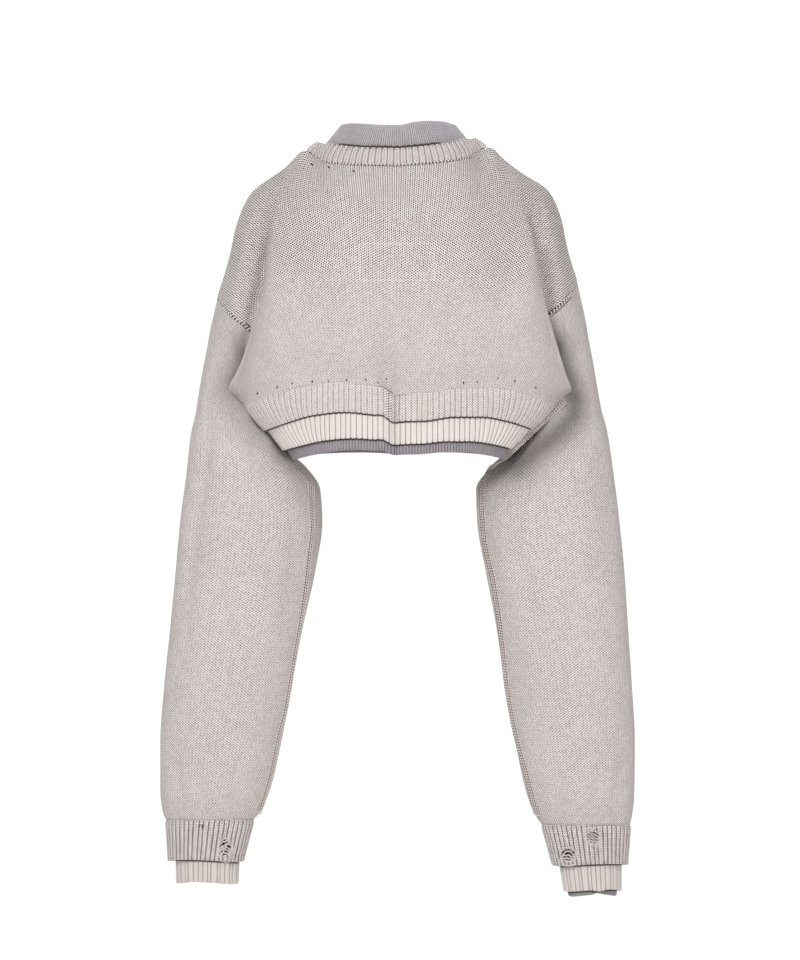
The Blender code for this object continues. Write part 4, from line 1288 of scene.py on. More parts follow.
class Body:
    """The back and front panels with the drape folds beside the arms."""

    def __init__(self) -> None:
        """Lay out both panels."""
        self.shares = np.concatenate([np.linspace(0, NECK_SHARE, NECK_COLUMNS + 1),
                                      np.linspace(NECK_SHARE, 0.8, 32)[1:], np.linspace(0.8, 1.0, 27)[1:]])
        self.places = np.concatenate([np.linspace(0, 3, FOLD_ROW + 1), np.linspace(3, 6, 61)[1:]])
        back, front = self.panel(BACK_WALES, 1), self.panel(self.front_wales(), -1)
        middle = len(self.shares) - 1
        right_corner, left_corner = middle - NECK_COLUMNS, middle + NECK_COLUMNS
        shoulders = np.r_[0:right_corner + 1, left_corner:2 * middle + 1]
        front[0, shoulders] = back[0, shoulders]
        for column in (0, -1):
            front[FOLD_ROW:, column] = back[FOLD_ROW:, column]
        for nudge in BODY_NUDGES:
            back, front = nudge.move(back), nudge.move(front)
        for nudge in HEM_NUDGES:
            back = nudge.move(back)
        self.neck = np.concatenate([back[0, right_corner:left_corner + 1],
                                    front[0, right_corner:left_corner + 1][::-1][1:-1]])
        centre = np.array([0, 0, -150.0])
        self.back = Cloth("back_knit", back, False, centre, replaces=("back_panel",))
        self.front = Cloth("front_knit", front, False, centre, replaces=("front_panel",))
        self.coarse_edges = {side: (self.coarse_edge(BACK_WALES, side, 1),
                                    self.coarse_edge(self.front_wales(), side, -1)) for side in Side}

    @staticmethod
    def front_wales() -> list[Wale]:
        """List the front's wales.

        Returns:
            Its own neckline, then the back's wales mirrored about the shoulder seam.
        """
        wales = list(FRONT_NECK_WALES)
        for wale in BACK_WALES:
            if wale.share < NECK_SHARE:
                continue
            along = (wale.share - NECK_SHARE) / (1 - NECK_SHARE)
            forward = SHOULDER_AT_NECK + (SHOULDER_AT_ARM - SHOULDER_AT_NECK) * along
            outer = min(1.0, max(0.0, (wale.share - 0.4) / 0.4))
            mirrored = [(x, forward - (y - forward) * (1 - flatter * outer), z)
                        for (x, y, z), flatter in zip(wale.lines(), FRONT_FLATTER)]
            mirrored[0] = wale.top
            wales.append(Wale(wale.share, *mirrored))
        return wales

    @staticmethod
    def fitted(share: Array, grid: Array, side: Side) -> Array:
        """Fit half a panel's control points to this side's own neck corner, armhole and fold.

        Args:
            share: Each wale's share of the width.
            grid: Points of each wale.
            side: Which half.

        Returns:
            The fitted points.
        """
        fit = SIDE_FIT[side]
        grid = grid.copy()
        near = np.where(share < NECK_SHARE, share / NECK_SHARE, np.clip((0.46 - share) / 0.14, 0, 1))
        for line, part in ((0, 1.0), (1, 0.5)):
            grid[:, line, 0] += part * fit.neck_out * near
            grid[:, line, 2] += part * fit.neck_up * near
        outer = np.clip((share - 0.46) / 0.54, 0, 1)
        for line, lift in ((0, 1.0), (1, 1.0), (2, 0.8)):
            grid[:, line, 2] += fit.armhole_up * lift * outer
            grid[:, line, 0] -= fit.armhole_in * lift * outer
        grid[:, 3, 0] += fit.fold_out * np.clip((share - 0.4) / 0.2, 0, 1) * (share < 0.95)
        return grid

    @classmethod
    def half(cls, wales: Sequence[Wale], side: Side, face: int, shares: Array, places: Array) -> Array:
        """Half a panel.

        Args:
            wales: Its control wales.
            side: Which half.
            face: 1 for the back, -1 for the front.
            shares: Places across, from the centre to the armhole.
            places: Places down the wales.

        Returns:
            A row of points for each place and a column for each share.
        """
        keys = np.array([wale.share for wale in wales])
        grid = cls.fitted(keys, np.array([wale.lines() for wale in wales], dtype=float), side)
        across = through(keys, grid, shares)
        quarter = (HEM_CENTRE_SHARE * shares + (1 - HEM_CENTRE_SHARE) * shares ** 6) * math.pi / 2
        hem = hem_point(HEM_TOP, (quarter if face > 0 else math.pi - quarter) * side.value)
        hem[:, 0] *= side.value
        edge = across[:, 3]
        swell = 7.5 * np.sin(np.pi * np.clip(shares, 0, 1)) * (1 - shares ** 6)
        lift = face * (9 - 2 * shares) * (1 - shares ** 8)
        rows = [across[:, k] for k in range(4)]
        for part, amount in ((0.36, 0.9), (0.72, 1.0)):
            point = edge * (1 - part) + hem * part
            point[:, 0] += swell * amount
            point[:, 1] += lift * amount
            rows.append(point)
        rows.append(hem)
        lines = through(range(len(rows)), np.stack(rows), places)
        lines[..., 0] *= side.value
        return lines

    def panel(self, wales: Sequence[Wale], face: int) -> Array:
        """A whole panel, from the wearer's right side to the left."""
        right, left = (self.half(wales, side, face, self.shares, self.places)
                       for side in (Side.RIGHT, Side.LEFT))
        return np.concatenate([right[:, ::-1], left[:, 1:]], axis=1)

    @staticmethod
    def wales(points: Array) -> Array:
        """Stitch columns over a panel: they widen and fan out from the hem to the shoulders.

        Args:
            points: The panel.

        Returns:
            A stitch column for each point.
        """
        height = (points[:, 1:, 2] + points[:, :-1, 2]) / 2
        run = np.cumsum(strides(points, 1) * np.interp(height, *zip(*WALES_PER_MM)), axis=1)
        run = evened(np.concatenate([np.zeros((len(run), 1)), run], axis=1).T, 6).T
        middle = points.shape[1] // 2 + 3
        return run - run[:, middle:middle + 1]

    def coarse_edge(self, wales: Sequence[Wale], side: Side, face: int) -> Array:
        """The armhole edge of a panel at the places the sleeve is set to."""
        return self.half(wales, side, face, np.array([1.0]), ARMHOLE_PLACES)[:, 0]

    def armhole(self, side: Side) -> Array:
        """Join a side's armhole edges.

        Args:
            side: Which arm.

        Returns:
            A closed line, down the back from the shoulder, then up the front.
        """
        back, front = self.coarse_edges[side]
        front = front.copy()
        front[-1] = back[-1]
        return np.concatenate([back, front[1:-1][::-1]])

    def build(self, wardrobe: Wardrobe) -> None:
        """Crease, finish and make both panels.

        Args:
            wardrobe: The finishes.
        """
        for sheet in (self.back, self.front):
            sheet.crease(PANEL_CREASES)
            out, deep, z = np.abs(sheet.points[..., 0]), np.abs(sheet.points[..., 1]), sheet.points[..., 2]
            upper = smooth((z + 215) / 130)
            shoulder = smooth((out - 70) / 60) * smooth((z + 190) / 90)
            cap = smooth((out - 150) / 25) * smooth((z + 290) / 60)
            sheet.crisp = 0.72 + 0.6 * upper + 0.35 * shoulder + 0.4 * cap
            sheet.wales = self.wales(sheet.base)
            tight_fold = np.exp(-((out - 170) / 10) ** 2 - ((z + 190) / 42) ** 2 - ((deep - 58) / 14) ** 2)
            sheet.inside = sheet.inside + 0.85 * WALL * np.minimum(1, 1.6 * tight_fold)
            if sheet is self.back:
                sheet.shade(CAP_SHELTERS)
            # Painted shade: the upper panels are darkened a little, except over the caps.
            sheet.dim = sheet.dim + 0.08 * upper * (1 - cap)
            sheet.build(wardrobe.back if sheet is self.back else wardrobe.plain)


# ---- sleeves

LEFT_SLEEVE_CREASES = (
    Crease(((210, -222), (222, -300), (233, -368), (243.6, -448), (251, -500), (255.6, -553), (258, -610)),
           8, 3.6, fade=(0.15, 0.3)),
    Crease(((200, -330), (190, -400), (196, -470)), 12, 2.4),
    Crease(((120, -420), (128, -500), (140, -600)), 10, 1.8),
    Crease(((276, -690), (268, -740), (262, -795)), 8, 2.2, fade=(0.4, 0)),
    Crease(((246, -718), (242, -760), (240, -800)), 7, 1.8, fade=(0.4, 0)),
    Crease(((216, -700), (222, -750), (224, -802)), 8, 2.0, fade=(0.4, 0)),
    Crease(((186, -716), (196, -760), (202, -802)), 7, 1.8, fade=(0.4, 0)),
    Crease(((230, -250), (244, -330), (250, -420)), 10, 3.0, -1),
    Crease(((180, -380), (196, -470), (214, -560)), 12, 2.6, -1),
    Crease(((140, -450), (160, -540), (176, -640)), 11, 2.2, -1),
    Crease(((262, -700), (256, -750), (250, -800)), 8, 2.2, -1, fade=(0.4, 0)),
    Crease(((210, -706), (216, -756), (220, -802)), 8, 2.2, -1, fade=(0.4, 0)),
)
RIGHT_SLEEVE_CREASES = (
    Crease(((-206, -222), (-216, -268), (-222, -310), (-218, -352), (-196, -392)), 12, 6, lip=0.25,
           fade=(0.2, 0.4)),
    Crease(((-238, -330), (-240, -390), (-248, -450), (-253, -500)), 10, 1.6),
    Crease(((-206, -300), (-190, -360), (-182, -430), (-196, -500)), 13, 2.6),
    Crease(((-130, -430), (-146, -510), (-168, -590)), 11, 1.8),
    Crease(((-272, -700), (-264, -750), (-256, -805)), 8, 2.2, fade=(0.4, 0)),
    Crease(((-244, -720), (-238, -764), (-236, -806)), 7, 1.8, fade=(0.4, 0)),
    Crease(((-212, -706), (-216, -756), (-218, -806)), 8, 2.0, fade=(0.4, 0)),
    Crease(((-184, -730), (-190, -770), (-196, -808)), 7, 1.6, fade=(0.4, 0)),
    Crease(((-228, -250), (-246, -340), (-250, -430)), 10, 3.0, -1),
    Crease(((-178, -390), (-190, -480), (-210, -570)), 12, 2.6, -1),
    Crease(((-136, -460), (-156, -550), (-170, -650)), 11, 2.2, -1),
    Crease(((-258, -704), (-252, -754), (-246, -806)), 8, 2.2, -1, fade=(0.4, 0)),
    Crease(((-204, -710), (-210, -760), (-214, -808)), 8, 2.2, -1, fade=(0.4, 0)),
)


# Painted shade and painted cast shadow on the sleeves beside and below the body's folds: the line, its width
# and how much darker.
SLEEVE_SHELTERS = {
    Side.LEFT: (
        Shelter(((184, -206), (190, -240), (200, -272), (204, -296), (190, -320), (160, -348), (128, -376)),
                17, 0.26),
        Shelter(((178, -196), (184, -216), (196, -262), (207, -290)), 6, 0.2),
    ),
    Side.RIGHT: (
        Shelter(((-186, -206), (-195, -250), (-204, -286), (-210, -302), (-207, -320), (-193, -336),
                 (-173, -352), (-153, -368), (-131, -386), (-115, -407), (-107, -425)), 14, 0.5),
        Shelter(((-198, -262), (-208, -292), (-212, -316), (-190, -348), (-152, -380), (-116, -418)),
                24, 0.24),
        Shelter(((-182, -200), (-192, -246), (-207, -288)), 6, 0.2),
    ),
}
SLEEVE_NUDGES = {
    Side.LEFT: (
        Nudge((201, 36, -254), (14, 24, 24), (-11, 4, 0)), Nudge((210, 34, -302), (26, 26, 28), (0, -19, 0)),
        Nudge((188, 34, -334), (28, 26, 26), (0, -14, 0)), Nudge((190, 8, -314), (15, 44, 15), (-7, 0, 0)),
        Nudge((160, 20, -346), (13, 42, 26), (-5, 5, 0)),
    ),
    Side.RIGHT: (
        Nudge((-200, 34, -252), (14, 24, 24), (9, 4, 0)), Nudge((-210, 32, -302), (26, 26, 32), (0, -20, 0)),
        Nudge((-188, 32, -334), (28, 26, 26), (0, -15, 0)), Nudge((-190, 8, -314), (15, 44, 15), (7, 0, 0)),
    ),
}
SLEEVE_CREASES = {Side.LEFT: LEFT_SLEEVE_CREASES, Side.RIGHT: RIGHT_SLEEVE_CREASES}


@dataclass
class Sleeve:
    """A full sleeve that hangs from its dropped armhole and is gathered into the cuff."""

    side: Side
    body: Body
    times: int = 5          # columns for each one of the solid's
    rows: int = 170

    def __post_init__(self) -> None:
        """Lay out the sleeve."""
        coarse = self.coarse()
        keys = np.concatenate([[0], np.cumsum(strides(coarse, 0).mean(axis=1))])
        fine = through(keys, finer_ring(coarse, self.times), np.linspace(0, keys[-1], self.rows))
        for nudge in SLEEVE_NUDGES[self.side]:
            fine = nudge.move(fine)
        axis = fine.mean(axis=1, keepdims=True)
        self.cloth = Cloth(f"sleeve_knit_{self.side.label}", fine, True, axis, hold="hung",
                           replaces=(f"sleeve_{self.side.label}",))

    def ring(self, sizes: tuple, count: int) -> Array:
        """Points round one ring: outer side, back, inner side, front.

        Args:
            sizes: One row of the sleeve's rings.
            count: How many points.

        Returns:
            The points, as on a left sleeve.
        """
        z_out, z_in, x_out, x_in, y_mid, half_depth, y_in, round_in = sizes
        angle = 2 * np.pi * np.arange(count) / count
        out, back = np.cos(angle), np.sin(angle)
        middle = x_out - 0.48 * (x_out - x_in)
        outer = out >= 0
        y_turn = np.where(outer, y_mid, y_in)
        power = 2 / np.where(outer, 2.15, round_in)
        x = middle + (np.where(outer, x_out, x_in) - middle) * np.abs(out) ** power
        far_y = y_mid + np.sign(back + 1e-12) * half_depth
        y = y_turn + (far_y - y_turn) * np.abs(back) ** power
        return np.stack([x, y, z_out + (z_in - z_out) * (x_out - x) / (x_out - x_in)], axis=-1)

    def coarse(self) -> Array:
        """The sleeve's points at the spacing of the solid it stands for.

        Returns:
            Rings of points.
        """
        loop = self.body.armhole(self.side).copy()
        loop[:, 0] *= self.side.value
        count = len(loop)
        rings = [self.ring(sizes, count) for sizes in SLEEVE_RINGS[self.side]]
        near = loop * 0.66 + rings[0] * 0.34
        turn = 2 * np.pi * np.arange(count) / count
        near[:, 0] += 9 * np.sin(turn) ** 2 * np.where(np.cos(turn) < 0.2, 1.0, 0.4)
        grid = np.stack([loop, near] + rings)
        grid = self.clear_of_body(through(range(len(grid)), grid, SLEEVE_PLACES))
        grid[..., 0] *= self.side.value
        return grid

    @staticmethod
    def clear_of_body(grid: Array) -> Array:
        """Move the points out softly to where the body's side would touch them.

        Args:
            grid: Rings of points, as on a left sleeve.

        Returns:
            The moved points.
        """
        z, widths, mids, depths, powers = np.array(FLANK, dtype=float).T
        widest, middle, depth, power = (np.interp(grid[..., 2], z, column, right=0)
                                        for column in (widths, mids, depths, powers))
        near = (widest > 0) & (depth > 0)
        depth, power = np.where(near, depth, 1), np.where(near, power, 2)
        deep = np.clip(np.abs(grid[..., 1] - middle) / depth, 0, 1)
        edge = widest * (1 - deep ** power) ** (1 / power)
        push = np.where(near, np.maximum(edge - grid[..., 0], 0), 0)
        push[0] = 0
        for _ in range(3):
            spread = (np.roll(push, 1, axis=1) + np.roll(push, -1, axis=1)) / 2
            spread[1:-1] = (2 * spread[1:-1] + push[:-2] + push[2:]) / 4
            spread[0] = 0
            push = np.maximum(push, spread)
        grid = grid.copy()
        grid[..., 0] += push
        for _ in range(2):
            mean = (np.roll(grid, 1, axis=1) + np.roll(grid, -1, axis=1)) / 2
            grid[4:8] += 0.5 * (mean - grid)[4:8]
        return grid

    def build(self, wardrobe: Wardrobe) -> None:
        """Crease, finish and make the sleeve.

        Args:
            wardrobe: The finishes.
        """
        self.cloth.crease(SLEEVE_CREASES[self.side])
        z = self.cloth.points[..., 2]
        self.cloth.crisp = 0.78 + 0.1 * smooth((z + 330) / 120)
        self.cloth.shade(SLEEVE_SHELTERS[self.side])
        self.cloth.build(wardrobe.plain)


# ---- ribs

def rib_profile(part: Array, flat: float) -> Array:
    """Height of a rib from 0 in the valley to 1 on top, at a part of its width."""
    return 1 - np.abs(2 * part - 1) ** flat


@dataclass(frozen=True)
class Ribbing:
    """How a ribbed band is knitted: how many ribs, their height and their scalloped edge."""

    ribs: int
    rise: float
    steps: int = 8
    flat: float = 3.2
    scallop: float = 0.9
    wales: int = 2
    wander: float = 0.06        # how far the ribs stray from even spacing, as a share of a rib
    seed: int = 3
    grow: float = 0.0           # over what length the ribs rise out of the plain knit above
    lap: float = 1.6            # and how far their first row reaches over it
    bite: float = 4.0           # how far up from the edge the scallops reach
    edge: float = 1.3           # radius of the edge

    def parts(self) -> Array:
        """Places across all ribs, closer in the valleys."""
        even = np.arange(self.steps) / self.steps
        bent = even - 0.07 * np.sin(2 * np.pi * even)
        return (np.arange(self.ribs)[:, None] + bent[None, :]).ravel()

    def stray(self, places: Array) -> Array:
        """The places with each rib a little wider or narrower than its neighbour."""
        shift = np.random.default_rng(self.seed).normal(0, self.wander, self.ribs)
        return places + np.interp(places % self.ribs, np.arange(self.ribs + 1), np.append(shift, shift[0]))

    def angles(self, level: Level, roundness: float) -> Array:
        """Angles round a ring on which the ribs are even.

        Args:
            level: The ring.
            roundness: Its superellipse power.

        Returns:
            An angle for each place across the ribs.
        """
        whole = even_angles(level, ANGLE_STEPS, roundness)
        places = self.stray(self.parts()) / self.ribs
        return np.interp(places % 1 * ANGLE_STEPS, np.arange(ANGLE_STEPS + 1), np.append(whole, 2 * math.pi))

    def height(self, rows: int) -> Array:
        """Rib heights over the whole band."""
        lumpy = 1 + np.random.default_rng(self.seed + 1).normal(0, 0.07, self.ribs)
        profile = rib_profile(self.parts() % 1, self.flat) * np.repeat(lumpy, self.steps) * self.rise
        return np.broadcast_to(profile, (rows, len(profile)))

    def finish_band(self, cloth: Cloth) -> None:
        """Raise the ribs, scallop and round the free edge, and lay the stitches.

        Args:
            cloth: The smooth band.
        """
        height = self.height(cloth.points.shape[0])
        way = unit(cloth.base[-1] - cloth.base[-2])
        near = smooth(1 - cloth.from_edge() / self.bite)[..., None]
        scallops = (1 - rib_profile(self.parts() % 1, self.flat)) * self.scallop
        shift = -way[None] * scallops[None, :, None] * near
        if self.grow:
            down = cloth.from_top()
            height = height * smooth(down / self.grow)
            lap = smooth(1 - down / 3.0)[..., None] * unit(cloth.base[0] - cloth.base[1])[None] * self.lap
            cloth.points, cloth.base = cloth.points + lap, cloth.base + lap
            cloth.points = cloth.points + cloth.normals * 0.12
        cloth.raise_ribs(height)
        cloth.points, cloth.base = cloth.points + shift, cloth.base + shift
        cloth.round_edge(self.edge)
        cloth.wales = np.append(self.parts(), self.ribs) * self.wales


# Rows of a band, as parts of its length from its top.
BAND_ROWS = np.array([0, 0.03, 0.08, 0.15, 0.26, 0.4, 0.54, 0.67, 0.79, 0.88, 0.94, 0.975, 1.0])


@dataclass
class Hem:
    """One of the three layered rib hems, all round the body."""

    layer: str
    top: Level
    bottom: Level
    ribbing: Ribbing
    yarn: Yarn
    bulge: float = 0.0

    def build(self, material: Material, over: Cloth | None) -> Cloth:
        """Make the band.

        Args:
            material: Its finish.
            over: The band that hangs over it.

        Returns:
            The band's cloth.
        """
        half_way = self.top.towards(self.bottom, 0.5)
        angles = self.ribbing.angles(half_way, HEM_ROUNDNESS)
        rings = [self.top.towards(self.bottom, part) for part in BAND_ROWS]
        points = np.stack([hem_point(ring, upright(hem_point, ring, half_way, angles)) for ring in rings])
        for nudge in HEM_NUDGES:
            points = nudge.move(points)
        centre = np.array([0, -6.0, self.bottom.z])
        cloth = Cloth(f"hem_{self.layer}_knit", points, True, centre, RIB_WALL, hold="stretched",
                      replaces=(f"hem_{self.layer}_back", f"hem_{self.layer}_front"), yarn=self.yarn)
        cloth.points = cloth.points + cloth.normals * (self.bulge * np.sin(np.pi * BAND_ROWS))[:, None, None]
        cloth.base = cloth.points.copy()
        self.ribbing.finish_band(cloth)
        cloth.crisp[-3:] = 1.15
        # Painted shade in the upright fold at the back: more stitch contrast and darker valleys on the
        # bunched ribs there, and a dim mark over the fold.
        gathered = np.exp(-((points[..., 0] - 9) / 9) ** 2) * (points[..., 1] > 0)
        cloth.crisp += (1.3 if self.yarn is Yarn.GREIGE else 0.3) * gathered
        cloth.dim += 0.14 * gathered
        # Places the painted shadow line below the band that hangs over this one.
        if over is not None:
            cloth.covered_by(over.points[-1])
        cloth.build(material)
        return cloth


@dataclass(frozen=True)
class Hole:
    """A worn-through place: its middle and half sizes, and the phase of its ragged edge."""

    x: float
    z: float
    half_width: float
    half_height: float
    phase: float = 0.0

    def cut(self, thing: Object, side: Side) -> None:
        """Cut the hole through the back of a cuff.

        Args:
            thing: The cuff.
            side: Which arm.
        """
        count, depth = 34, 22.0
        turn = 2 * np.pi * (np.arange(count) + 0.5) / count
        ragged = 1 + 0.12 * np.sin(3 * turn) + 0.07 * np.sin(8 * turn + self.phase) + 0.05 * np.sin(13 * turn)
        x = side.value * (self.x + self.half_width * np.cos(turn) * ragged)
        z = self.z + self.half_height * np.sin(turn) * (1 + 0.06 * np.sin(9 * turn + self.phase))
        near, far = (np.stack([x, np.full(count, y), z], axis=-1) for y in (-depth, depth))
        mesh = bpy.data.meshes.new("cutter")
        walls = [(k, (k + 1) % count, count + (k + 1) % count, count + k) for k in range(count)]
        mesh.from_pydata((np.concatenate([near, far]) * MM).tolist(), [],
                         walls + [tuple(range(count))[::-1], tuple(range(count, 2 * count))])
        cutter = stand("cutter", mesh)
        middle = Vector((x.mean() * MM, 0, z.mean() * MM))
        if sum(face.normal.dot(face.center - middle) for face in mesh.polygons) < 0:
            mesh.flip_normals()
        tool = thing.modifiers.new("hole", "BOOLEAN")
        tool.operation, tool.solver, tool.object = "DIFFERENCE", "EXACT", cutter
        bpy.context.view_layer.update()
        worn = bpy.data.meshes.new_from_object(thing.evaluated_get(bpy.context.evaluated_depsgraph_get()))
        thing.modifiers.clear()
        thing.data = worn
        bpy.data.objects.remove(cutter, do_unlink=True)


CUFF_NOTCH = {"inner": Nudge((-241, -16, -898), (5, 22, 13), (0, 0, 8)),
              "middle": Nudge((-240, -12, -891), (7, 24, 8), (0, 0, -2.2))}


@dataclass
class Cuff:
    """One of the three layered cuffs at a wrist."""

    layer: str
    side: Side
    top: Level
    bottom: Level
    ribbing: Ribbing
    yarn: Yarn
    holes: tuple[Hole, ...] = ()

    def build(self, material: Material, over: Cloth | None) -> Cloth:
        """Make the cuff and wear its holes through.

        Args:
            material: Its finish.
            over: The cuff that hangs over it.

        Returns:
            The cuff's cloth, whole.
        """
        angles = self.ribbing.angles(self.bottom, CUFF_ROUNDNESS)
        rows = []
        for part in BAND_ROWS:
            level = self.top.towards(self.bottom, part)
            x, y = superellipse(level.half_width, level.half_depth, angles, CUFF_ROUNDNESS)
            x = self.side.value * (level.x_mid + x)
            wave = 1.6 * np.sin(2 * angles + 0.7) * part
            rows.append(np.stack([x, level.y_mid + y, level.z + wave], axis=-1))
        points = np.stack(rows)
        if self.side is Side.RIGHT and self.layer in CUFF_NOTCH:
            points = CUFF_NOTCH[self.layer].move(points)
        centre = np.array([self.side.value * self.bottom.x_mid, self.bottom.y_mid, self.bottom.z])
        nodes = [f"cuff_{self.layer}_{self.side.label}"]
        if self.layer == "outer":
            nodes = [f"{nodes[0]}_back", f"{nodes[0]}_front"]
        cloth = Cloth(f"cuff_{self.layer}_knit_{self.side.label}", points, True, centre, RIB_WALL,
                      hold="stretched", replaces=tuple(nodes), yarn=self.yarn)
        self.ribbing.finish_band(cloth)
        cloth.crisp[:] = 1.35 if self.yarn is Yarn.GREIGE else 1.0
        # Places the painted shadow line below the cuff that hangs over this one.
        if over is not None:
            cloth.covered_by(over.points[-1])
        thing = cloth.build(material)
        for hole in self.holes:
            hole.cut(thing, self.side)
        return cloth


# ---- neck

COLLAR_EDGE = ((-1.0, 0), (-0.93, 2), (-0.8, 5), (-0.55, 5.5), (-0.3, 4), (0.0, 0), (0.3, 0.3), (0.6, 1.6),
               (0.85, 2.5), (0.95, 1.5), (1.0, 0))


class Neck:
    """The ribbed neckband and the fine-ribbed collar that stands inside it."""

    band_ribbing = Ribbing(78, 1.0, steps=10, flat=3.4, scallop=1.2, wander=0.04, seed=11)
    collar_ribbing = Ribbing(184, 0.7, steps=5, flat=2.2, scallop=0.2, wales=1, wander=0.05, seed=12)

    def __init__(self, loop: Array) -> None:
        """Keep the neck opening's line."""
        self.loop = loop

    def evenly(self, places: Array) -> Array:
        """Points round the neck opening at shares of its length."""
        ring = np.concatenate([self.loop, self.loop[:1]])
        return between(ring, places % 1 * travel(ring)[-1])

    def band(self, material: Material) -> Cloth:
        """Make the neckband.

        Args:
            material: Its finish.

        Returns:
            The band's cloth.
        """
        ribs = self.band_ribbing
        lower = self.evenly(ribs.stray(ribs.parts()) / ribs.ribs)
        flat = lower - lower.mean(axis=0)
        flat[:, 2] = 0
        out = unit(flat)
        back, front = (np.clip(sign * out[:, 1:2], 0, 1) ** 2 for sign in (1, -1))
        side = 1 - back - front
        inward = back * 6 + side * 12 + front * 8
        rise = 11 + 10.5 * smooth(out[:, 1:2] * 2.2) + 11 * front
        rows = []
        for share in 1 - BAND_ROWS:
            row = lower - out * (inward * share ** 1.3 - 2.5 * side * math.sin(math.pi * share ** 0.7))
            row[:, 2:3] += rise * share
            rows.append(row)
        points = np.stack(rows)[::-1]
        cloth = Cloth("neckband_knit", points, True, points.reshape(-1, 3).mean(axis=0), RIB_WALL,
                      hold="stretched", replaces=("neckband",))
        ribs.finish_band(cloth)
        cloth.crisp[:3] = 1.7
        cloth.crisp[-4:] = np.array([2.0, 3.0, 3.0, 2.0])[:, None]
        cloth.build(material)
        return cloth

    def collar(self, material: Material, band: Cloth) -> Cloth:
        """Make the standing collar, which comes out above the neckband.

        Args:
            material: Its finish.
            band: The neckband.

        Returns:
            The collar's cloth.
        """
        ribs = self.collar_ribbing
        angles = 2 * np.pi * ribs.stray(ribs.parts()) / ribs.ribs
        back, front = (np.clip(sign * np.cos(angles), 0, 1) ** 1.5 for sign in (1, -1))
        low, high = (95, 55, -8, -3, -64), (68, 53.5, 28, 30.5, -26)
        rows = []
        for share in BAND_ROWS:
            width, depth, z_back, z_side, z_front = (a + (b - a) * share for a, b in zip(low, high))
            x, y = superellipse(width, depth, angles, COLLAR_ROUNDNESS)
            wave = through(*zip(*COLLAR_EDGE), x / width) * (0.5 + 0.5 * np.cos(angles))
            z = z_side + (z_back - z_side) * back + (z_front - z_side) * front + wave * share
            rows.append(np.stack([2 + x, y - 10, z], axis=-1))
        points = np.stack(rows)
        cloth = Cloth("collar_knit", points, True, points.reshape(-1, 3).mean(axis=0), RIB_WALL,
                      hold="stretched", replaces=("collar",), yarn=Yarn.GREY)
        ribs.finish_band(cloth)
        cloth.crisp[-3:] = 0.6
        cloth.covered_by(band.points[-1], upwards=True)
        # The painted shadow below the neckband's edge reaches further onto the collar's middle and fades out
        # towards its sides.
        cloth.under += 3.4 * smooth((np.abs(points[..., 0] - 13) - 54) / 16) - 1.0
        cloth.build(material)
        return cloth


# ---- trims

INNER_SEAMS = {
    Side.LEFT: ((141, -360), (128, -378), (107, -404), (106, -440), (110, -484), (118, -548), (129, -612),
                (138, -667), (147, -704), (158, -755), (171, -796), (175, -804)),
    Side.RIGHT: ((-197, -300), (-183, -313), (-170, -326), (-150, -345), (-127, -366), (-107, -388),
                 (-100, -413), (-103, -466), (-114, -518), (-122, -571), (-131, -650), (-140, -698),
                 (-158, -766), (-169, -810)),
}
STRANDS = {
    Side.LEFT: (
        ((217.2, -830.4), (213.6, -827.8), (208.2, -826.6), (203.4, -828.6)),
        ((216.8, -834.2), (212.4, -830.6), (207, -829.6), (202.8, -832.4)),
        ((216, -838), (211.4, -834.8), (205.8, -833), (202.2, -836.2)),
        ((217.2, -843), (212.4, -839.2), (207, -841), (203.4, -845)),
        ((216.6, -847), (211.6, -843.4), (207.2, -844.6), (203.6, -849)),
        ((216.4, -840.6), (212.6, -837), (207, -837.6), (203, -841)),
        ((214, -846), (209, -836), (204.4, -829)),
        ((215.4, -850.2), (212.4, -855), (207, -855.4), (203.4, -850.4)),
        ((212.4, -847.6), (210.4, -851.4), (206.4, -851.8), (204.6, -848.6)),
        ((218, -827), (217.6, -835), (218.8, -843), (215.8, -850)),
        ((201.6, -828), (201, -836), (201.8, -843), (202.8, -850)),
    ),
    Side.RIGHT: (
        ((-224, -814.5), (-228.6, -817.2), (-233.4, -821.6), (-239, -824.4)),
        ((-224, -818), (-228.4, -820.6), (-233, -825), (-238.6, -828)),
        ((-224.4, -821.6), (-228.6, -824.4), (-232.6, -828.6), (-238, -831.4)),
        ((-225, -825.4), (-228.8, -828.4), (-232.2, -832.2), (-236, -834)),
        ((-225.6, -829.4), (-228.6, -832), (-231.6, -835.4)),
        ((-228, -812.8), (-232.2, -816.6), (-236.4, -819.4), (-240, -821)),
        ((-223.4, -813), (-222.6, -820), (-223.6, -828), (-227, -835)),
        ((-241, -819), (-241.2, -825), (-239.4, -831), (-235, -836)),
        ((-193, -846.4), (-194.6, -840.6), (-198.8, -837.4), (-203.6, -837), (-208.8, -840.8),
         (-211.8, -846.4)),
        ((-195, -848), (-197.4, -843.8), (-202, -841.6), (-206.6, -844), (-209.4, -848.6)),
        ((-192.4, -849.4), (-197, -847.4), (-202, -846.6), (-207.6, -848.4), (-212.4, -847.4)),
        ((-192, -852.2), (-197, -850.4), (-203, -850.2), (-208, -851.6), (-212.4, -850.6)),
        ((-192.6, -855.4), (-197.4, -853.4), (-203, -853.8), (-209.4, -853.6)),
        ((-195, -857.6), (-199.8, -859.4), (-205.2, -859.2), (-210.6, -856.4)),
    ),
}
FOLD_SIDE = 178     # inside this reach the body's fold hangs over the armhole
ARMHOLE_ROWS = (Linking(4.4, 2.3, 1.1, lift=1.0, shift=-0.2),
                Linking(4.4, 2.0, 0.8, lift=1.0, shift=2.0, phase=0.5))
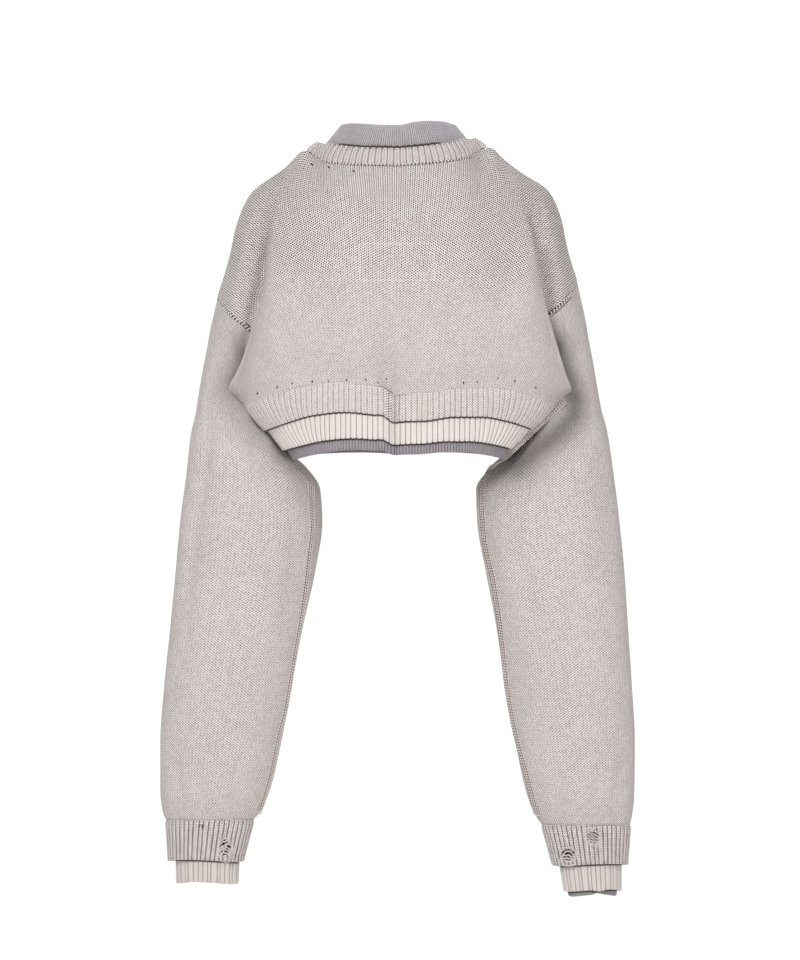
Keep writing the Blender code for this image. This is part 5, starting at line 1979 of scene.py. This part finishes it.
# Dark loops of painted shadow between the bright armhole loops.
ARMHOLE_DOTS = (Linking(4.4, 1.4, 0.8, lift=1.1, shift=-0.2, phase=0.75),
                Linking(4.4, 1.2, 0.6, lift=0.9, shift=2.0, phase=0.0))
NECK_ARCHES = Linking(4.3, 2.2, 0.95, lift=1.1, shift=-0.6)
# Dark loops of painted shadow between the neck's arches.
NECK_DOTS = Linking(4.3, 1.5, 0.85, lift=1.15, shift=-0.4, phase=0.75)
RIDGE_ROWS = ((-3.6, 0.95), (-1.2, 1.05), (1.5, 1.15), (3.9, 0.9))      # shift and radius
# Mid-brown tubes of painted shade between the ridge's rows: shift and radius.
RIDGE_GAPS = ((-5.0, 0.7), (-2.4, 0.7), (0.15, 0.9), (2.8, 0.6))


class Trims:
    """Linked seams, loose strands and other yarn worked on after knitting."""

    def __init__(self, wardrobe: Wardrobe) -> None:
        """Keep the finishes."""
        self.wardrobe = wardrobe

    def piece(self, name: str, parts: Sequence[tuple[Array, Array]], material: Material) -> None:
        """Join parts into one piece.

        Args:
            name: The piece's name.
            parts: Points in millimetres and quads of each part.
            material: Its finish.
        """
        verts, faces, offset = [], [], 0
        for points, quads in parts:
            verts.append(points)
            faces.append(quads + offset)
            offset += len(points)
        thing = solid(name, np.concatenate(verts) * MM, np.concatenate(faces), material)
        LOG.info("%s: %d quads", name, sum(len(quads) for quads in faces))

    def seams(self, sleeves: dict, band: Cloth) -> None:
        """Link the armholes and the neck: bright loops, with dark loops and tubes of painted shadow between
        them.

        Args:
            sleeves: The sleeve on each side.
            band: The neckband.
        """
        parts, gaps = [], []
        for edge, normal in (run for sleeve in sleeves.values() for run in self.outside(sleeve.cloth)):
            parts += [row.loops(edge, normal) for row in ARMHOLE_ROWS]
            gaps += [row.loops(edge, normal) for row in ARMHOLE_DOTS]
            gaps.append(Linking(shift=-0.2).core(edge, normal, 0.75, -0.3))
            gaps.append(Linking(shift=3.8).core(edge, normal, 0.4, -0.1))
        self.piece("armhole_linking", parts, self.wardrobe.seam)
        edge, normal = self.first_row(band, 5)
        gaps += [NECK_DOTS.loops(edge, normal), NECK_ARCHES.core(edge, normal, 0.75, -0.35)]
        self.piece("neck_linking", [NECK_ARCHES.loops(edge, normal)], self.wardrobe.seam)
        self.piece("seam_gaps", gaps, self.wardrobe.shadow)

    @staticmethod
    def outside(cloth: Cloth) -> list[tuple[Array, Array]]:
        """The parts of an armhole that are in sight.

        Args:
            cloth: The sleeve.

        Returns:
            Points and normals of its edge on the back, then on the front, clear of the edge's outer tip.
        """
        row, normals = cloth.points[0], cloth.normals[0]
        turn = -int(np.argmin(np.abs(row[:, 0])))
        row, normals = np.roll(row, turn, axis=0), np.roll(normals, turn, axis=0)
        runs = []
        for face in (1, -1):
            wide = np.abs(row[:, 0])
            clear = (wide > FOLD_SIDE) & (wide < wide.max() - 10)
            seen = np.flatnonzero(clear & (normals[:, 1] * face > 0.4))
            seen = max(np.split(seen, np.flatnonzero(np.diff(seen) > 1) + 1), key=len)
            runs.append((row[seen], normals[seen]))
        return runs

    @staticmethod
    def first_row(cloth: Cloth, skip: int) -> tuple[Array, Array]:
        """A closed line of points with its normals along a sheet's first row, one in every few."""
        return tuple(np.concatenate([grid[0], grid[0, :1]])[::skip] for grid in (cloth.base, cloth.normals))

    def ridges(self, sleeves: dict, hems: Sequence[Cloth]) -> None:
        """Work the seam that runs down the inside of each sleeve: bright rows of stitches with mid-brown
        tubes of painted shade between them.

        Args:
            sleeves: The sleeve on each side.
            hems: The hems that the right seam runs over.
        """
        parts, gaps = [], []
        for side, sleeve in sleeves.items():
            surface = Surface(sleeve.cloth, *(hems if side is Side.RIGHT else ()))
            points, normals = (found[:-3] for found in surface.line(INNER_SEAMS[side], 2.0))
            depth = np.array([points[max(0, k - 3):k + 4, 1].max() for k in range(len(points))])
            depth = np.convolve(np.pad(depth, 4, mode="edge"), np.ones(9) / 9, "valid")
            points = np.stack([points[:, 0], np.maximum(depth, points[:, 1]), points[:, 2]], axis=1)
            normals = unit(normals + np.array([0, 1.0, 0]))
            for number, (shift, radius) in enumerate(RIDGE_ROWS):
                row = Linking(3.3, 3.2, radius, lift=0.3, shift=shift, phase=0.1 + 0.2 * number)
                parts.append(row.loops(points, normals))
            for shift, radius in RIDGE_GAPS:
                gaps.append(Linking(shift=shift).core(points, normals, radius, 0.15))
        self.piece("sleeve_seam_stitches", parts, self.wardrobe.thread)
        self.piece("sleeve_seam_gaps", gaps, self.wardrobe.crevice_shade)

    def strands(self, cuffs: dict) -> None:
        """Hang loose, crinkled strands across the worn places of the outer cuffs.

        Args:
            cuffs: The outer and middle cuff on each side.
        """
        for side, cuff in cuffs.items():
            surface, lines = Surface(*cuff), []
            for number, places in enumerate(STRANDS[side]):
                points, normals = surface.line(places, 0.6)
                if len(points) < 4:
                    continue
                at = np.arange(len(points))
                lift = 0.5 + 0.4 * np.sin(at * 0.8 + number * 1.7) + 0.4 * (number % 3 - 1)
                across = unit(np.cross(normals, np.gradient(points, axis=0)))
                lines.append(points + normals * lift[:, None]
                             + across * (0.45 * np.sin(at * 0.7 + number * 2.1))[:, None])
            self.piece(f"cuff_strands_{side.label}", [tubes(lines, [0.9] * len(lines), 8)],
                       self.wardrobe.thread)


# ---- studio

@dataclass(frozen=True)
class Studio:
    """Camera, soft lights and a pale floor."""

    distance: float = 9.0
    height: float = -0.396
    lens: float = 337.5

    def camera(self) -> None:
        """Place the camera level behind the back."""
        data = bpy.data.cameras.new("camera")
        data.lens, data.sensor_width, data.sensor_fit = self.lens, 36.0, "HORIZONTAL"
        data.clip_end = 60.0
        camera = stand("camera", data)
        camera.location = (0.0, self.distance, self.height)
        camera.rotation_euler = (math.pi / 2, 0.0, math.pi)
        bpy.context.scene.camera = camera

    def lamp(self, name: str, place: tuple, aim: tuple, size: float, power: float) -> None:
        """Add a soft square light.

        Args:
            name: Its name.
            place: Where it stands, in metres.
            aim: The point that it faces.
            size: Its side, in metres.
            power: Its power, in watts.
        """
        data = bpy.data.lights.new(name, "AREA")
        data.size, data.energy = size, power
        lamp = stand(name, data)
        lamp.location = place
        lamp.rotation_euler = (Vector(aim) - Vector(place)).to_track_quat("-Z", "Y").to_euler()

    def world(self, light: float, seen: float) -> None:
        """Add white surroundings.

        Args:
            light: How strongly they light the sweater.
            seen: How bright the camera sees them.
        """
        world = bpy.data.worlds.new("studio")
        world.use_nodes = True
        tree = world.node_tree
        lit, shown = tree.nodes["Background"], tree.nodes.new("ShaderNodeBackground")
        for surroundings, strength in ((lit, light), (shown, seen)):
            surroundings.inputs["Color"].default_value = (1, 1, 1, 1)
            surroundings.inputs["Strength"].default_value = strength
        path, mix = (tree.nodes.new(kind) for kind in ("ShaderNodeLightPath", "ShaderNodeMixShader"))
        for number, output in enumerate((path.outputs["Is Camera Ray"], lit.outputs[0], shown.outputs[0])):
            tree.links.new(output, mix.inputs[number])
        tree.links.new(mix.outputs[0], tree.nodes["World Output"].inputs[0])
        bpy.context.scene.world = world

    def floor(self) -> None:
        """Lay a pale round floor well below the sweater."""
        count = 64
        turn = 2 * np.pi * np.arange(count) / count
        ring = np.stack([4 * np.cos(turn), 4 * np.sin(turn), np.full(count, -1.3)], axis=-1)
        mesh = bpy.data.meshes.new("floor")
        mesh.from_pydata(ring.tolist(), [], [tuple(range(count))])
        graph = Graph("floor_paint")
        graph.shader.inputs["Base Color"].default_value = (0.9, 0.9, 0.9, 1)
        graph.shader.inputs["Roughness"].default_value = 0.9
        mesh.materials.append(graph.material)
        stand("floor", mesh)

    def build(self) -> None:
        """Set the whole studio up."""
        self.camera()
        self.world(light=0.49, seen=1.05)
        self.floor()
        self.lamp("key", (1.6, 4.5, 2.3), (0, 0, -0.45), 1.3, 118)
        self.lamp("fill", (-2.6, 4.2, 0.6), (0, 0, -0.45), 2.6, 48)
        self.lamp("front", (0.4, -4.2, 1.8), (0, 0, -0.4), 2.6, 100)
        bpy.context.scene.view_settings.view_transform = "Standard"


# ---- the sweater

HEMS = (
    Hem("outer", Level(188, 97, -292, 1.0), Level(163.5, 94, -324, 0.8), Ribbing(134, 0.8, grow=6.0),
        Yarn.GREIGE, bulge=0.6),
    Hem("middle", Level(173.5, 91.3, -303, 0.85), Level(139.5, 86, -352, 0.5), Ribbing(124, 1.5, seed=5),
        Yarn.CREAM),
    Hem("inner", Level(158.5, 86.7, -308, 0.75), Level(127.5, 80, -365, 0.4),
        Ribbing(208, 0.9, steps=6, flat=2.2, scallop=0.4, wales=1, seed=6), Yarn.GREY),
)
CUFF_LEVELS = {
    Side.LEFT: {
        "outer": (Level(52.5, 34.5, -805, 1, 229, -38), Level(44.4, 32, -854, 1, 234, -38)),
        "middle": (Level(38.5, 29.9, -816, 1, 231.5, -38), Level(36.4, 26, -881, 1, 232.2, -38)),
        "inner": (Level(33, 25.7, -826, 1, 231.8, -38), Level(31.2, 21.3, -876, 1, 232.2, -38)),
    },
    Side.RIGHT: {
        "outer": (Level(53, 34.5, -811, 1, 224, -38), Level(44.4, 32, -859, 1, 229, -38)),
        "middle": (Level(39.5, 29.9, -822, 1, 227, -38), Level(33.8, 26, -890, 1, 232, -38)),
        "inner": (Level(33.5, 25.7, -832, 1, 227.8, -38), Level(28.4, 21.3, -896, 1, 232, -38)),
    },
}
CUFF_RIBBING = {
    "outer": (Ribbing(47, 1.5, steps=10, scallop=0.8, seed=21, grow=5.0), Yarn.GREIGE),
    "middle": (Ribbing(36, 1.3, steps=8, scallop=0.7, wander=0.12, seed=22), Yarn.CREAM),
    "inner": (Ribbing(52, 0.8, steps=6, flat=2.2, scallop=0.3, wales=1, seed=23), Yarn.GREY),
}
HOLES = {
    Side.LEFT: (Hole(210, -837, 6.5, 9.5),),
    Side.RIGHT: (Hole(232, -824, 6, 8, 1.0), Hole(202, -847, 8, 7.5, 2.0)),
}


def main() -> None:
    """Build the sweater, then the studio round it."""
    logging.basicConfig(level=logging.INFO, format="%(message)s")
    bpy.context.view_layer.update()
    wardrobe = Wardrobe()
    body = Body()
    body.build(wardrobe)
    sleeves = {side: Sleeve(side, body) for side in Side}
    for sleeve in sleeves.values():
        sleeve.build(wardrobe)
    ribs = {Yarn.GREIGE: wardrobe.hem, Yarn.CREAM: wardrobe.cream, Yarn.GREY: wardrobe.grey}
    hems: list[Cloth] = []
    for hem in HEMS:
        hems.append(hem.build(ribs[hem.yarn], hems[-1] if hems else None))
    ribs.update({Yarn.GREIGE: wardrobe.cuff, Yarn.CREAM: wardrobe.cream_cuff})
    cuffs = {}
    for side in Side:
        over = None
        for layer, (ribbing, yarn) in CUFF_RIBBING.items():
            holes = HOLES[side] if layer == "outer" else ()
            cuff = Cuff(layer, side, *CUFF_LEVELS[side][layer], ribbing, yarn, holes)
            over = cuffs[side, layer] = cuff.build(ribs[yarn], over)
    neck = Neck(body.neck)
    band = neck.band(wardrobe.neck)
    neck.collar(wardrobe.collar, band)
    trims = Trims(wardrobe)
    trims.seams(sleeves, band)
    trims.ridges(sleeves, hems[:2])
    trims.strands({side: (cuffs[side, "outer"], cuffs[side, "middle"]) for side in Side})
    Studio().build()


if __name__ == "__main__":
    main()
